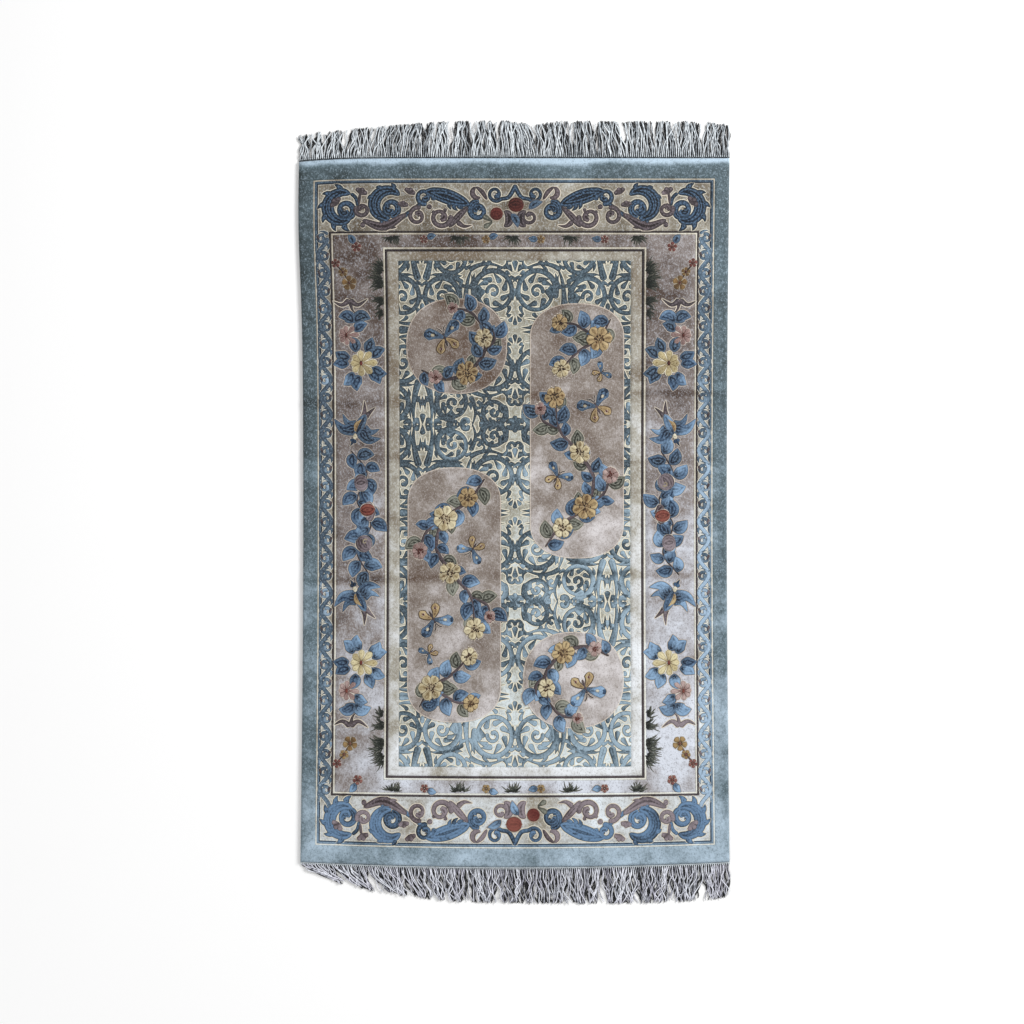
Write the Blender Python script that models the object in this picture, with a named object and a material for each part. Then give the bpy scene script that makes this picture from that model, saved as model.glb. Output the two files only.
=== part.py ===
"""A Chinese carved silk rug lying flat: one knotted pile body, and a fringe of twisted warp cords at each end.

Lengths are metres. +Y runs along the rug towards its head end, +Z is up, and the rug's underside is at Z = 0.
The origin is under the middle of the whole rug, fringes included.
"""

import math
import random
from collections import namedtuple

import bmesh
import bpy
from mathutils import Vector

# The knotted body, selvedge to selvedge and from pile edge to pile edge.
RUG_WIDTH = 0.915
RUG_LENGTH = 1.500
RUG_THICKNESS = 0.009
EDGE_SLOPE = 0.0035
EDGE_REACH = 0.0200
STEPS_ACROSS = 24
STEPS_ALONG = 36

# How far a hand-knotted rug strays from a true rectangle.
WAIST = 0.0060
LEFT_BULGE = 0.0060
BULGE_PLACE = 0.82
BULGE_SPREAD = 0.22
FOOT_BOW = 0.0110
HEAD_CORNER_DROP = 0.0080

# The carver's channels round the pattern's middle: each a rectangle, as half its width and half its length.
PATTERN_MIDDLE = -0.006
CHANNEL_WIDTH = 0.0050
CHANNEL_DEPTH = 0.0014
BAND_CHANNELS = {
    "guard_channel": (0.4225, 0.7015),
    "outer_stripe_channel": (0.3895, 0.5960),
    "inner_stripe_channel": (0.2765, 0.5610),
}

# The four carved panels of the field, each placed from the pattern's middle. Their ends are half superellipses.
Panel = namedtuple("Panel", "across along half_width half_length end_depth")
PANEL_CHANNELS = {
    "head_roundel_channel": Panel(-0.1255, 0.3550, 0.1085, 0.1020, 0.1020),
    "head_panel_channel": Panel(0.1300, 0.1730, 0.1005, 0.2700, 0.0750),
    "foot_panel_channel": Panel(-0.1300, -0.1730, 0.1005, 0.2700, 0.0750),
    "foot_roundel_channel": Panel(0.1255, -0.3550, 0.1085, 0.1020, 0.1020),
}
PANEL_SQUARENESS = 2.3
PANEL_STEPS = 36

# The knotted heading strip at each end, held just off the floor by the warp cords that leave it.
GAP = 0.0003
HEADING_WIDTH = 0.0060
HEADING_THICKNESS = 0.0028
HEADING_LIFT = 0.0003
CORDS_PER_END = 150
CORD_WIDTH = 0.0026
CORD_HEIGHT = 0.0022
CORD_STEPS = 4
ROOT_DEPTH = 0.0040
CORD_LENGTH_SPREAD = 0.0035
DRIFT_POWER = 1.5

# Along each fringe from the rug's left side: how far the tips drift to the right there, and how far they reach.
Lie = namedtuple("Lie", "share drift reach")
HEAD_LIE = (
    Lie(0.00, 0.004, 0.056),
    Lie(0.08, 0.004, 0.060),
    Lie(0.17, 0.014, 0.067),
    Lie(0.28, 0.006, 0.075),
    Lie(0.36, 0.002, 0.078),
    Lie(0.48, -0.002, 0.079),
    Lie(0.55, -0.010, 0.072),
    Lie(0.62, -0.004, 0.079),
    Lie(0.74, -0.010, 0.078),
    Lie(0.84, -0.008, 0.079),
    Lie(0.93, 0.004, 0.077),
    Lie(1.00, 0.012, 0.072),
)
FOOT_LIE = (
    Lie(0.00, 0.046, 0.034),
    Lie(0.07, 0.042, 0.044),
    Lie(0.15, 0.033, 0.056),
    Lie(0.26, 0.021, 0.068),
    Lie(0.36, 0.012, 0.074),
    Lie(0.48, 0.005, 0.076),
    Lie(0.60, 0.001, 0.078),
    Lie(0.72, 0.003, 0.079),
    Lie(0.84, -0.001, 0.080),
    Lie(0.94, -0.003, 0.078),
    Lie(1.00, 0.002, 0.074),
)
# The locks that the cords gather into: the middle of each as a share of the rug's width, and how strongly it gathers.
Lock = namedtuple("Lock", "share gather")
HEAD_LOCKS = (
    Lock(0.02, 0.22),
    Lock(0.07, 0.28),
    Lock(0.13, 0.20),
    Lock(0.22, 0.05),
    Lock(0.31, 0.10),
    Lock(0.38, 0.22),
    Lock(0.43, 0.28),
    Lock(0.50, 0.08),
    Lock(0.63, 0.12),
    Lock(0.71, 0.20),
    Lock(0.80, 0.10),
    Lock(0.86, 0.28),
    Lock(0.95, 0.18),
)
FOOT_LOCKS = (
    Lock(0.05, 0.12),
    Lock(0.15, 0.10),
    Lock(0.26, 0.14),
    Lock(0.34, 0.22),
    Lock(0.41, 0.28),
    Lock(0.50, 0.06),
    Lock(0.61, 0.10),
    Lock(0.72, 0.14),
    Lock(0.82, 0.06),
    Lock(0.91, 0.12),
    Lock(0.98, 0.28),
)

WELD_DISTANCE = 0.00001
PILE_COLOUR = (0.26, 0.33, 0.37, 1.0)
CORD_COLOUR = (0.42, 0.44, 0.46, 1.0)


def clear_scene():
    for obj in list(bpy.data.objects):
        bpy.data.objects.remove(obj)


def new_collection(name):
    collection = bpy.data.collections.new(name)
    bpy.context.scene.collection.children.link(collection)
    return collection


def new_material(name, colour, roughness):
    material = bpy.data.materials.new(name)
    material.use_nodes = True
    shader = material.node_tree.nodes["Principled BSDF"]
    shader.inputs["Base Color"].default_value = colour
    shader.inputs["Roughness"].default_value = roughness
    shader.inputs["Metallic"].default_value = 0.0
    return material


def strayed(x, y):
    """Where a knot planned at (x, y) really lies: the sides draw in at the waist, the foot bows, one corner drops."""
    across = x / (RUG_WIDTH / 2)
    along = y / (RUG_LENGTH / 2)
    waist = -WAIST * across * math.cos(along * math.pi / 2)
    bulge = -LEFT_BULGE * max(0.0, -across) ** 2 * math.exp(-(((along - BULGE_PLACE) / BULGE_SPREAD) ** 2))
    foot = -FOOT_BOW * max(0.0, -along) ** 3 * (1 - across**2)
    head = -HEAD_CORNER_DROP * max(0.0, along) ** 3 * max(0.0, -across) ** 6
    return x + waist + bulge, y + foot + head


def lie_at(table, share):
    """How a fringe lies at this share of the width: read between the table's rows, levelling off at each."""
    for before, after in zip(table, table[1:]):
        if share <= after.share:
            part = (share - before.share) / (after.share - before.share)
            part = part * part * (3 - 2 * part)
            drift = before.drift + part * (after.drift - before.drift)
            reach = before.reach + part * (after.reach - before.reach)
            return Lie(share, drift, reach)
    return table[-1]


def poly_curve(name, lines, cyclic=False):
    """A curve object with one straight-sided spline for each line of points."""
    data = bpy.data.curves.new(name, "CURVE")
    data.dimensions = "3D"
    data.twist_mode = "Z_UP"
    for line in lines:
        spline = data.splines.new("POLY")
        spline.points.add(len(line) - 1)
        for point, place in zip(spline.points, line):
            point.co = (*place, 1.0)
        spline.use_cyclic_u = cyclic
    return bpy.data.objects.new(name, data)


def profile_curve(name, outline, helpers):
    """A closed flat outline for other curves to carry along their length."""
    data = bpy.data.curves.new(name, "CURVE")
    data.dimensions = "2D"
    spline = data.splines.new("POLY")
    spline.points.add(len(outline) - 1)
    for point, (x, y) in zip(spline.points, outline):
        point.co = (x, y, 0.0, 1.0)
    spline.use_cyclic_u = True
    profile = bpy.data.objects.new(name, data)
    profile.hide_render = True
    profile.display_type = "WIRE"
    helpers.objects.link(profile)
    return profile


def mesh_from(curve, name, collection):
    """Turns a curve object into a welded mesh object in the collection, and removes the curve."""
    bpy.context.scene.collection.objects.link(curve)
    bpy.context.view_layer.update()
    evaluated = curve.evaluated_get(bpy.context.evaluated_depsgraph_get())
    mesh = bpy.data.meshes.new_from_object(evaluated)
    weld(mesh)
    mesh.name = name
    made = bpy.data.objects.new(name, mesh)
    made.matrix_world = curve.matrix_world
    collection.objects.link(made)
    bpy.data.objects.remove(curve)
    return made


def weld(mesh):
    """Joins the loose caps to the sides and turns all faces outwards."""
    shape = bmesh.new()
    shape.from_mesh(mesh)
    bmesh.ops.remove_doubles(shape, verts=shape.verts, dist=WELD_DISTANCE)
    bmesh.ops.recalc_face_normals(shape, faces=shape.faces)
    shape.to_mesh(mesh)
    shape.free()


def add_boolean(target, operand, operation):
    operand.hide_render = True
    operand.display_type = "WIRE"
    boolean = target.modifiers.new(operation.lower(), "BOOLEAN")
    boolean.operation = operation
    boolean.object = operand


def rectangle_line(half_width, half_length, middle, steps_across, steps_along):
    """A rectangle's line, anticlockwise from its foot's left corner, in steps short enough to stray smoothly."""
    corners = (
        (-half_width, -half_length, steps_across),
        (half_width, -half_length, steps_along),
        (half_width, half_length, steps_across),
        (-half_width, half_length, steps_along),
    )
    points = []
    for number, (x, y, steps) in enumerate(corners):
        end_x, end_y, _ = corners[(number + 1) % len(corners)]
        for step in range(steps):
            share = step / steps
            points.append((x + share * (end_x - x), middle + y + share * (end_y - y)))
    return points


def body_outline():
    """The rug's edge, with the strays of a hand-knotted piece."""
    line = rectangle_line(RUG_WIDTH / 2, RUG_LENGTH / 2, 0.0, STEPS_ACROSS, STEPS_ALONG)
    return [strayed(x, y) for x, y in line]


def band_line(half_width, half_length):
    """A band's line round the pattern's middle."""
    return rectangle_line(half_width, half_length, PATTERN_MIDDLE, STEPS_ACROSS // 2, STEPS_ALONG // 2)


def panel_line(panel):
    """A panel's line: straight sides between two ends, each half a superellipse."""
    straight = panel.half_length - panel.end_depth
    power = 2 / PANEL_SQUARENESS
    points = []
    for step in range(PANEL_STEPS):
        angle = 2 * math.pi * (step + 0.5) / PANEL_STEPS
        cos, sin = math.cos(angle), math.sin(angle)
        x = panel.half_width * math.copysign(abs(cos) ** power, cos)
        y = panel.end_depth * math.copysign(abs(sin) ** power, sin) + math.copysign(straight, sin)
        points.append((panel.across + x, PATTERN_MIDDLE + panel.along + y))
    return points


def channel_cutter(name, outline, profile, helpers):
    """A closed V-shaped bead along the outline, sunk in the pile's top face."""
    line = [(*strayed(x, y), RUG_THICKNESS) for x, y in outline]
    curve = poly_curve(name, [line], cyclic=True)
    curve.data.bevel_mode = "OBJECT"
    curve.data.bevel_object = profile
    return mesh_from(curve, name, helpers)


def build_body(parts, helpers, material):
    """The flat body: its outline in thickness, a sloped pile edge, and the carver's channels cut in its top."""
    data = bpy.data.curves.new("rug_body", "CURVE")
    data.dimensions = "2D"
    data.fill_mode = "BOTH"
    data.extrude = RUG_THICKNESS / 2
    outline = body_outline()
    spline = data.splines.new("POLY")
    spline.points.add(len(outline) - 1)
    for point, (x, y) in zip(spline.points, outline):
        point.co = (x, y, 0.0, 1.0)
    spline.use_cyclic_u = True
    flat = bpy.data.objects.new("rug_outline", data)
    flat.location.z = RUG_THICKNESS / 2
    body = mesh_from(flat, "rug_body", parts)
    body.data.materials.append(material)

    slope_top_edge(body.data)
    bead = (
        (0.0, -CHANNEL_DEPTH),
        (CHANNEL_WIDTH / 2, 0.0),
        (0.0, CHANNEL_DEPTH),
        (-CHANNEL_WIDTH / 2, 0.0),
    )
    profile = profile_curve("channel_profile", bead, helpers)
    outlines = {name: band_line(*sizes) for name, sizes in BAND_CHANNELS.items()}
    outlines.update({name: panel_line(panel) for name, panel in PANEL_CHANNELS.items()})
    for name, outline in outlines.items():
        add_boolean(body, channel_cutter(name, outline, profile, helpers), "DIFFERENCE")
    return body


def slope_top_edge(mesh):
    """Draws the top face in a little, so that the pile's sides slope as clipped pile does."""
    shape = bmesh.new()
    shape.from_mesh(mesh)
    top = max(vert.co.z for vert in shape.verts)
    middle = sum((vert.co for vert in shape.verts), Vector()) / len(shape.verts)
    for vert in shape.verts:
        if vert.co.z > top - RUG_THICKNESS / 4:
            vert.co.x -= math.copysign(EDGE_SLOPE, vert.co.x - middle.x) * on_side(vert.co.x, RUG_WIDTH)
            vert.co.y -= math.copysign(EDGE_SLOPE, vert.co.y - middle.y) * on_side(vert.co.y, RUG_LENGTH)
    shape.to_mesh(mesh)
    shape.free()


def on_side(place, size):
    """1 for a point on the edge that lies across this axis, 0 for one between those edges."""
    return 1.0 if abs(place) > size / 2 - EDGE_REACH else 0.0


def end_edge(share, towards):
    """The body's edge at one end: towards is 1 at the head and -1 at the foot."""
    return strayed((share - 0.5) * RUG_WIDTH, towards * RUG_LENGTH / 2)


def heading_line(towards):
    """The heading strip's centreline, just clear of the body's end."""
    offset = towards * (GAP + HEADING_WIDTH / 2)
    line = []
    for step in range(STEPS_ACROSS + 1):
        x, y = end_edge(step / STEPS_ACROSS, towards)
        line.append((x, y + offset, HEADING_LIFT + HEADING_THICKNESS / 2))
    return line


def cord_line(number, towards, lies, locks, chance):
    """One warp cord's path on the floor: straight out of the heading, then drifting with its lock to its tip."""
    share = (number + 0.5) / CORDS_PER_END
    lock = min(locks, key=lambda one: abs(one.share - share))
    lie = lie_at(lies, share)
    root_x, edge_y = end_edge(share, towards)
    root_y = edge_y + towards * (GAP + HEADING_WIDTH - ROOT_DEPTH)
    drift = lie.drift + lock.gather * (lock.share - share) * RUG_WIDTH
    reach = lie.reach + ROOT_DEPTH - chance.uniform(0, CORD_LENGTH_SPREAD)
    line = []
    for step in range(CORD_STEPS + 1):
        part = step / CORD_STEPS
        line.append((root_x + drift * part**DRIFT_POWER, root_y + towards * reach * part, 0.0))
    return line


def build_fringe(name, towards, lies, locks, parts, helpers, material, chance):
    """A heading strip against the body's end, with its cords fused in it and lying on the floor."""
    half_width, half_height = HEADING_WIDTH / 2, HEADING_THICKNESS / 2
    strip_outline = (
        (-half_width, -half_height),
        (half_width, -half_height),
        (half_width, half_height),
        (-half_width, half_height),
    )
    strip = poly_curve(name + "_heading", [heading_line(towards)])
    strip.data.bevel_mode = "OBJECT"
    strip.data.bevel_object = profile_curve(name + "_heading_profile", strip_outline, helpers)
    strip.data.use_fill_caps = True
    fringe = mesh_from(strip, name, parts)
    fringe.data.materials.append(material)

    cord_outline = ((-CORD_WIDTH / 2, 0.0), (CORD_WIDTH / 2, 0.0), (0.0, CORD_HEIGHT))
    lines = [cord_line(number, towards, lies, locks, chance) for number in range(CORDS_PER_END)]
    cords = poly_curve(name + "_cords", lines)
    cords.data.bevel_mode = "OBJECT"
    cords.data.bevel_object = profile_curve(name + "_cord_profile", cord_outline, helpers)
    cords.data.use_fill_caps = True
    add_boolean(fringe, mesh_from(cords, name + "_cords", helpers), "UNION")
    return fringe


def centre_footprint(pieces, helpers):
    """Moves everything so that the origin is under the middle of the rug's whole footprint."""
    bpy.context.view_layer.update()
    graph = bpy.context.evaluated_depsgraph_get()
    corners = [Vector(corner) for piece in pieces for corner in piece.evaluated_get(graph).bound_box]
    middle_x = (min(c.x for c in corners) + max(c.x for c in corners)) / 2
    middle_y = (min(c.y for c in corners) + max(c.y for c in corners)) / 2
    for obj in [*pieces, *helpers.objects]:
        obj.location.x -= middle_x
        obj.location.y -= middle_y


def build():
    clear_scene()
    parts = new_collection("chinese_silk_rug")
    helpers = new_collection("cutters_and_profiles")
    pile = new_material("silk_pile", PILE_COLOUR, 0.6)
    cord = new_material("warp_cord", CORD_COLOUR, 0.7)
    chance = random.Random(7)
    pieces = [
        build_body(parts, helpers, pile),
        build_fringe("fringe_head", 1, HEAD_LIE, HEAD_LOCKS, parts, helpers, cord, chance),
        build_fringe("fringe_foot", -1, FOOT_LIE, FOOT_LOCKS, parts, helpers, cord, chance),
    ]
    centre_footprint(pieces, helpers)


build()
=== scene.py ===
import math

import bpy
import numpy as np
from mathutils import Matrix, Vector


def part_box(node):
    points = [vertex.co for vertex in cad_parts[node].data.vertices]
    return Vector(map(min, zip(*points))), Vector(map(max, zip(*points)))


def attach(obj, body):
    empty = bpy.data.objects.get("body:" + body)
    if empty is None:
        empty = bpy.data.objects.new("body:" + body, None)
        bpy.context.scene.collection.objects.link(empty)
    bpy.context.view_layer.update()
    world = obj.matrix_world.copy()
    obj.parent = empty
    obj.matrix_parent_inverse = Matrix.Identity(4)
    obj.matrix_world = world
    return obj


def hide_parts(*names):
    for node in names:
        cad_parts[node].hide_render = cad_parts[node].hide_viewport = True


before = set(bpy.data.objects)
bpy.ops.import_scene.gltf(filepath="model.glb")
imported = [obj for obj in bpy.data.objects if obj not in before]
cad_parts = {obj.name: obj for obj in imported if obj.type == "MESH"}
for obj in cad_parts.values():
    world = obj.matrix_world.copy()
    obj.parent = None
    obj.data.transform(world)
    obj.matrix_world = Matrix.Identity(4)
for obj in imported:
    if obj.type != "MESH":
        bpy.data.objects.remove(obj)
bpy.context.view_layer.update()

# The view: the rug lies on a white studio floor and is seen straight from above, with its head end at the top.
# The picture takes in 2.18 m, so a long lens from high up keeps the rug's edges square.
VIEW_WIDTH = 2.181
VIEW_HEIGHT = 7.0
VIEW_MIDDLE = (-0.0064, -0.0043)
SENSOR = 36.0
WHITE = (1.0, 1.0, 1.0, 1.0)
ROOM_LIGHT = 0.54
LIGHTS = (("key_light", (3.0, 1.9, 2.5), 1.5, 180.0), ("fill_light", (-2.4, -2.8, 3.6), 3.0, 48.0))
FLOOR_HALF = 7.0
FLOOR_LEVEL = -0.0004
FLOOR_COLOUR = (0.97, 0.97, 0.97, 1.0)
FLOOR_ROUGHNESS = 0.9

body_low, body_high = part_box("rug_body")
camera_data = bpy.data.cameras.new("camera")
camera_data.sensor_width = SENSOR
camera_data.lens = SENSOR * (VIEW_HEIGHT - body_high[2]) / VIEW_WIDTH
camera = bpy.data.objects.new("camera", camera_data)
bpy.context.scene.collection.objects.link(camera)
bpy.context.scene.camera = camera
bpy.context.scene.view_settings.view_transform = "Standard"

world = bpy.data.worlds.new("studio")
world.use_nodes = True
world.node_tree.nodes["Background"].inputs["Color"].default_value = WHITE
world.node_tree.nodes["Background"].inputs["Strength"].default_value = ROOM_LIGHT
bpy.context.scene.world = world

for name, place, size, power in LIGHTS:
    light_data = bpy.data.lights.new(name, "AREA")
    light_data.size = size
    light_data.energy = power
    light = bpy.data.objects.new(name, light_data)
    light.location = place
    reach = math.hypot(place[0], place[1])
    light.rotation_euler = (math.atan2(reach, place[2]), 0.0, math.atan2(place[1], place[0]) + math.pi / 2)
    bpy.context.scene.collection.objects.link(light)

floor_corners = [(x * FLOOR_HALF, y * FLOOR_HALF, FLOOR_LEVEL) for x, y in ((-1, -1), (1, -1), (1, 1), (-1, 1))]
floor_mesh = bpy.data.meshes.new("floor")
floor_mesh.from_pydata(floor_corners, [], [(0, 1, 2, 3)])
floor_paint = bpy.data.materials.new("white_floor")
floor_paint.use_nodes = True
floor_shader = floor_paint.node_tree.nodes["Principled BSDF"]
floor_shader.inputs["Base Color"].default_value = FLOOR_COLOUR
floor_shader.inputs["Roughness"].default_value = FLOOR_ROUGHNESS
floor_mesh.materials.append(floor_paint)
floor = bpy.data.objects.new("floor", floor_mesh)
bpy.context.scene.collection.objects.link(floor)


# The foundation: silk warps the length of the rug and wefts across them, beaten tight into a cloth 2 mm thick.
# Every knot of the pile is tied round its warps, so the whole pattern strays from a true rectangle with it.
RUG_WIDTH = 0.915
RUG_LENGTH = 1.500
WAIST = 0.0060
LEFT_BULGE = 0.0060
BULGE_PLACE = 0.82
BULGE_SPREAD = 0.22
FOOT_BOW = 0.0110
HEAD_CORNER_DROP = 0.0080
PATTERN_MIDDLE = -0.006
FOUNDATION_TOP = 0.0024
BACK_LEVEL = 0.0004
FOUNDATION_STEPS = (90, 200)
# Creases left by folding: place along the rug, tilt across it, half width, lift, and the painted shade
# (negative) or painted sheen (positive) of the silk there.
CREASES = (
    (0.238, -0.012, 0.0080, 0.0008, -0.75),
    (0.262, 0.006, 0.0150, 0.0003, 0.25),
    (0.108, 0.010, 0.0070, 0.0006, -0.50),
    (0.085, 0.000, 0.0200, 0.0002, 0.20),
    (-0.142, 0.008, 0.0080, 0.0007, -0.65),
    (-0.170, 0.000, 0.0200, 0.0003, 0.30),
    (-0.330, -0.010, 0.0100, 0.0004, -0.20),
    (0.452, 0.008, 0.0090, 0.0004, -0.25),
)
CREASE_LIFT = 3
CREASE_SHADE = 4
CREASE_GLOSS = 1.25
FOOT_GLOSS = 0.74
SIDE_GLOSS = 0.26
OUTLINE_STEPS = 241


def strayed(x, y):
    """Where a knot planned at (x, y) really lies: the sides draw in by a cosine at the waist, the left one
    swells by a bell curve, the foot bows by a cube along times a parabola across, and the head's left corner
    drops by a cube along times a sixth power across."""
    across = x / (RUG_WIDTH / 2)
    along = y / (RUG_LENGTH / 2)
    waist = -WAIST * across * np.cos(along * math.pi / 2)
    bulge = -LEFT_BULGE * np.maximum(0.0, -across) ** 2 * np.exp(-(((along - BULGE_PLACE) / BULGE_SPREAD) ** 2))
    foot = -FOOT_BOW * np.maximum(0.0, -along) ** 3 * (1 - across**2)
    head = -HEAD_CORNER_DROP * np.maximum(0.0, along) ** 3 * np.maximum(0.0, -across) ** 6
    return x + waist + bulge, y + foot + head


def crease_sum(x, y, column):
    """The creases' bell curves across the rug, each times its value in the given column, added up. A crease
    wanders in a slow wave and is up to half shallower along its length."""
    total = np.zeros_like(x)
    for crease in CREASES:
        place, tilt, half_width = crease[:3]
        offset = y - place - tilt * np.sin(x * 5.0 + place * 40.0)
        depth = 0.75 + 0.25 * np.sin(x * 14 + place * 90)
        total += crease[column] * np.exp(-((offset / half_width) ** 2)) * depth
    return total


def painted_light_at(x, y):
    """Painted light, from -1 to 1, standing for the silk's sheen and shade: painted shade and sheen along the
    creases, three sizes of soft clouds of painted sheen from crossed sines, and smooth steps that paint the
    foot half and the right half lighter."""
    clouds = 0.22 * np.sin(9 * x + 5 * np.sin(4.1 * y)) * np.sin(7.3 * y + 2.2 * np.sin(6 * x) + 0.7)
    clouds += 0.18 * np.sin(23 * x - 11 * y + 1.3) * np.sin(17 * y + 9 * x)
    clouds += 0.12 * np.sin(41 * x + 19 * y + 4 * np.sin(13 * y)) * np.sin(29 * y - 15 * x + 2.0)
    foot_shine = -FOOT_GLOSS * np.tanh((y + 0.02) / 0.42)
    side_shine = SIDE_GLOSS * np.tanh((x + 0.02) / 0.28)
    return CREASE_GLOSS * crease_sum(x, y, CREASE_SHADE) + clouds + foot_shine + side_shine


outline = np.linspace(-1, 1, OUTLINE_STEPS)
edge = np.ones_like(outline)
bent_x, bent_y = strayed(
    np.concatenate([outline, outline, edge, -edge]) * RUG_WIDTH / 2,
    np.concatenate([edge, -edge, outline, outline]) * RUG_LENGTH / 2,
)
SHIFT_X = (body_low[0] + body_high[0] - bent_x.min() - bent_x.max()) / 2
SHIFT_Y = (body_low[1] + body_high[1] - bent_y.min() - bent_y.max()) / 2
camera.location = (VIEW_MIDDLE[0] + SHIFT_X, VIEW_MIDDLE[1] + SHIFT_Y, VIEW_HEIGHT)
sheet_pieces = []


def grid_faces(rows, columns, closed=False):
    """Quads between the neighbouring rows and columns of a grid. A closed grid's last column joins its
    first."""
    index = np.arange(rows * columns).reshape(rows, columns)
    if closed:
        index = np.concatenate([index, index[:, :1]], axis=1)
    corners = (index[:-1, :-1], index[:-1, 1:], index[1:, 1:], index[1:, :-1])
    return np.stack(corners, axis=-1).reshape(-1, 4)


def rug_piece(name, x, y, z, faces, material, slot, painted_light_and_tone=None, strays=True, **values):
    """A mesh of knots: each planned point strays with the foundation and lifts with its creases. It carries
    its painted light and tone and any other values by name, one number for each point."""
    x, y, z = (np.asarray(places, dtype=float).ravel() for places in (x, y, z))
    values = {"painted_light_and_tone": painted_light_at(x, y) if painted_light_and_tone is None else painted_light_and_tone, **values}
    if strays:
        lift = crease_sum(x, y, CREASE_LIFT) * np.clip((z - BACK_LEVEL) / FOUNDATION_TOP, 0.4, 1.0)
        x, y = strayed(x, y)
        z = z + lift
    points = np.stack([x + SHIFT_X, y + SHIFT_Y, z], axis=-1)
    mesh = bpy.data.meshes.new(name)
    mesh.vertices.add(len(points))
    mesh.vertices.foreach_set("co", points.ravel())
    mesh.loops.add(faces.size)
    mesh.loops.foreach_set("vertex_index", faces.ravel().astype(np.int32))
    mesh.polygons.add(len(faces))
    mesh.polygons.foreach_set("loop_start", np.arange(0, faces.size, 4, dtype=np.int32))
    mesh.polygons.foreach_set("use_smooth", np.ones(len(faces), dtype=bool))
    mesh.update(calc_edges=True)
    for key, numbers in values.items():
        mesh.attributes.new(key, "FLOAT", "POINT").data.foreach_set("value", np.ravel(numbers))
    mesh.materials.append(material)
    piece = bpy.data.objects.new(name, mesh)
    bpy.context.scene.collection.objects.link(piece)
    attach(piece, "root")
    sheet_pieces.append(piece)
    return piece


class Nodes:
    """Places and joins shader nodes in one tree."""

    def __init__(self, tree):
        self.tree = tree

    def add(self, kind, sockets=None, **settings):
        node = self.tree.nodes.new(kind)
        for key, value in settings.items():
            setattr(node, key, value)
        for key, value in (sockets or {}).items():
            if isinstance(value, bpy.types.NodeSocket):
                self.tree.links.new(value, node.inputs[key])
            else:
                node.inputs[key].default_value = value
        return node

    def math(self, operation, *values, clamp=False):
        node = self.add("ShaderNodeMath", dict(enumerate(values)), operation=operation, use_clamp=clamp)
        return node.outputs[0]

    def plus(self, first, second):
        return self.math("ADD", first, second)

    def minus(self, first, second, clamp=False):
        return self.math("SUBTRACT", first, second, clamp=clamp)

    def times(self, first, second, clamp=False):
        return self.math("MULTIPLY", first, second, clamp=clamp)

    def mix(self, share, first, second):
        sockets = {"Factor": share, 6: first, 7: second}
        node = self.add("ShaderNodeMix", sockets, data_type="RGBA")
        return node.outputs[2]

    def noise(self, vector, scale, detail=2.0):
        node = self.add("ShaderNodeTexNoise", {"Vector": vector, "Scale": scale, "Detail": detail})
        return node.outputs["Fac"]

    def read(self, name, output="Fac"):
        return self.add("ShaderNodeAttribute", attribute_name=name).outputs[output]

    def place(self):
        return self.add("ShaderNodeTexCoord").outputs["Object"]


def group_tree(name, inputs, outputs):
    """An empty node group with the named sockets, and its own input and output nodes."""
    tree = bpy.data.node_groups.new(name, "ShaderNodeTree")
    for socket, kind, value in inputs:
        made = tree.interface.new_socket(socket, in_out="INPUT", socket_type=kind)
        made.default_value = value
    for socket, kind in outputs:
        tree.interface.new_socket(socket, in_out="OUTPUT", socket_type=kind)
    return tree, Nodes(tree), tree.nodes.new("NodeGroupInput").outputs, tree.nodes.new("NodeGroupOutput").inputs


# Cut silk: a knot is about 1.2 mm, its tips lean one way in fine slanting streaks, and the pile clouds light
# and dark in random patches of tone. Where it reads dark the colour is mixed towards a warm painted shade,
# where it reads light towards a cool painted sheen.
COLOUR = "NodeSocketColor"
VALUE = "NodeSocketFloat"
GREY = (0.5, 0.5, 0.5, 1.0)
COLOUR_INPUTS = [(key, COLOUR, GREY) for key in ("Colour", "Shade", "Shine")]
SILK_OUTPUTS = [("Colour", COLOUR), ("Height", VALUE)]
STREAK_LEAN = (0.0, 0.0, 0.7)
STREAK_STRETCH = (1.0, 0.55, 1.0)
STREAK_SCALE, STREAK_SWING = 330.0, 2.4
KNOT_SCALE, KNOT_SWING = 430.0, 3.4
TUFT_SCALE, TUFT_SWING = 120.0, 1.6
PATCH_SCALE, PATCH_SWING = 30.0, 1.5
CLOUD_SCALE, CLOUD_SWING = 8.0, 1.8
DARK_GRAIN = 0.62
LIGHT_GRAIN = 0.5
silk_values = [("Streak", VALUE, 1.0), ("Painted Light", VALUE, 0.7), ("Patch", VALUE, 1.0)]
silk_tree, silk, silk_in, silk_out = group_tree("cut_silk", COLOUR_INPUTS + silk_values, SILK_OUTPUTS)
place = silk.place()
slanted = silk.add("ShaderNodeMapping", {"Vector": place, "Rotation": STREAK_LEAN, "Scale": STREAK_STRETCH})
streaks = silk.noise(slanted.outputs[0], STREAK_SCALE)
knots = silk.noise(place, KNOT_SCALE)
tufts = silk.noise(place, TUFT_SCALE, 3.0)
patches = silk.noise(place, PATCH_SCALE, 4.0)
clouds = silk.noise(place, CLOUD_SCALE)


def swung(nodes, share, swing):
    """A noise as a swing about nought, times how far it swings."""
    return nodes.times(nodes.minus(share, 0.5), swing)


# The broad value: random patches and clouds of tone, plus the piece's painted light weighed by its socket; it
# mixes the colour towards the painted shade or the painted sheen. The fine grain is the pile's own texture.
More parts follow.
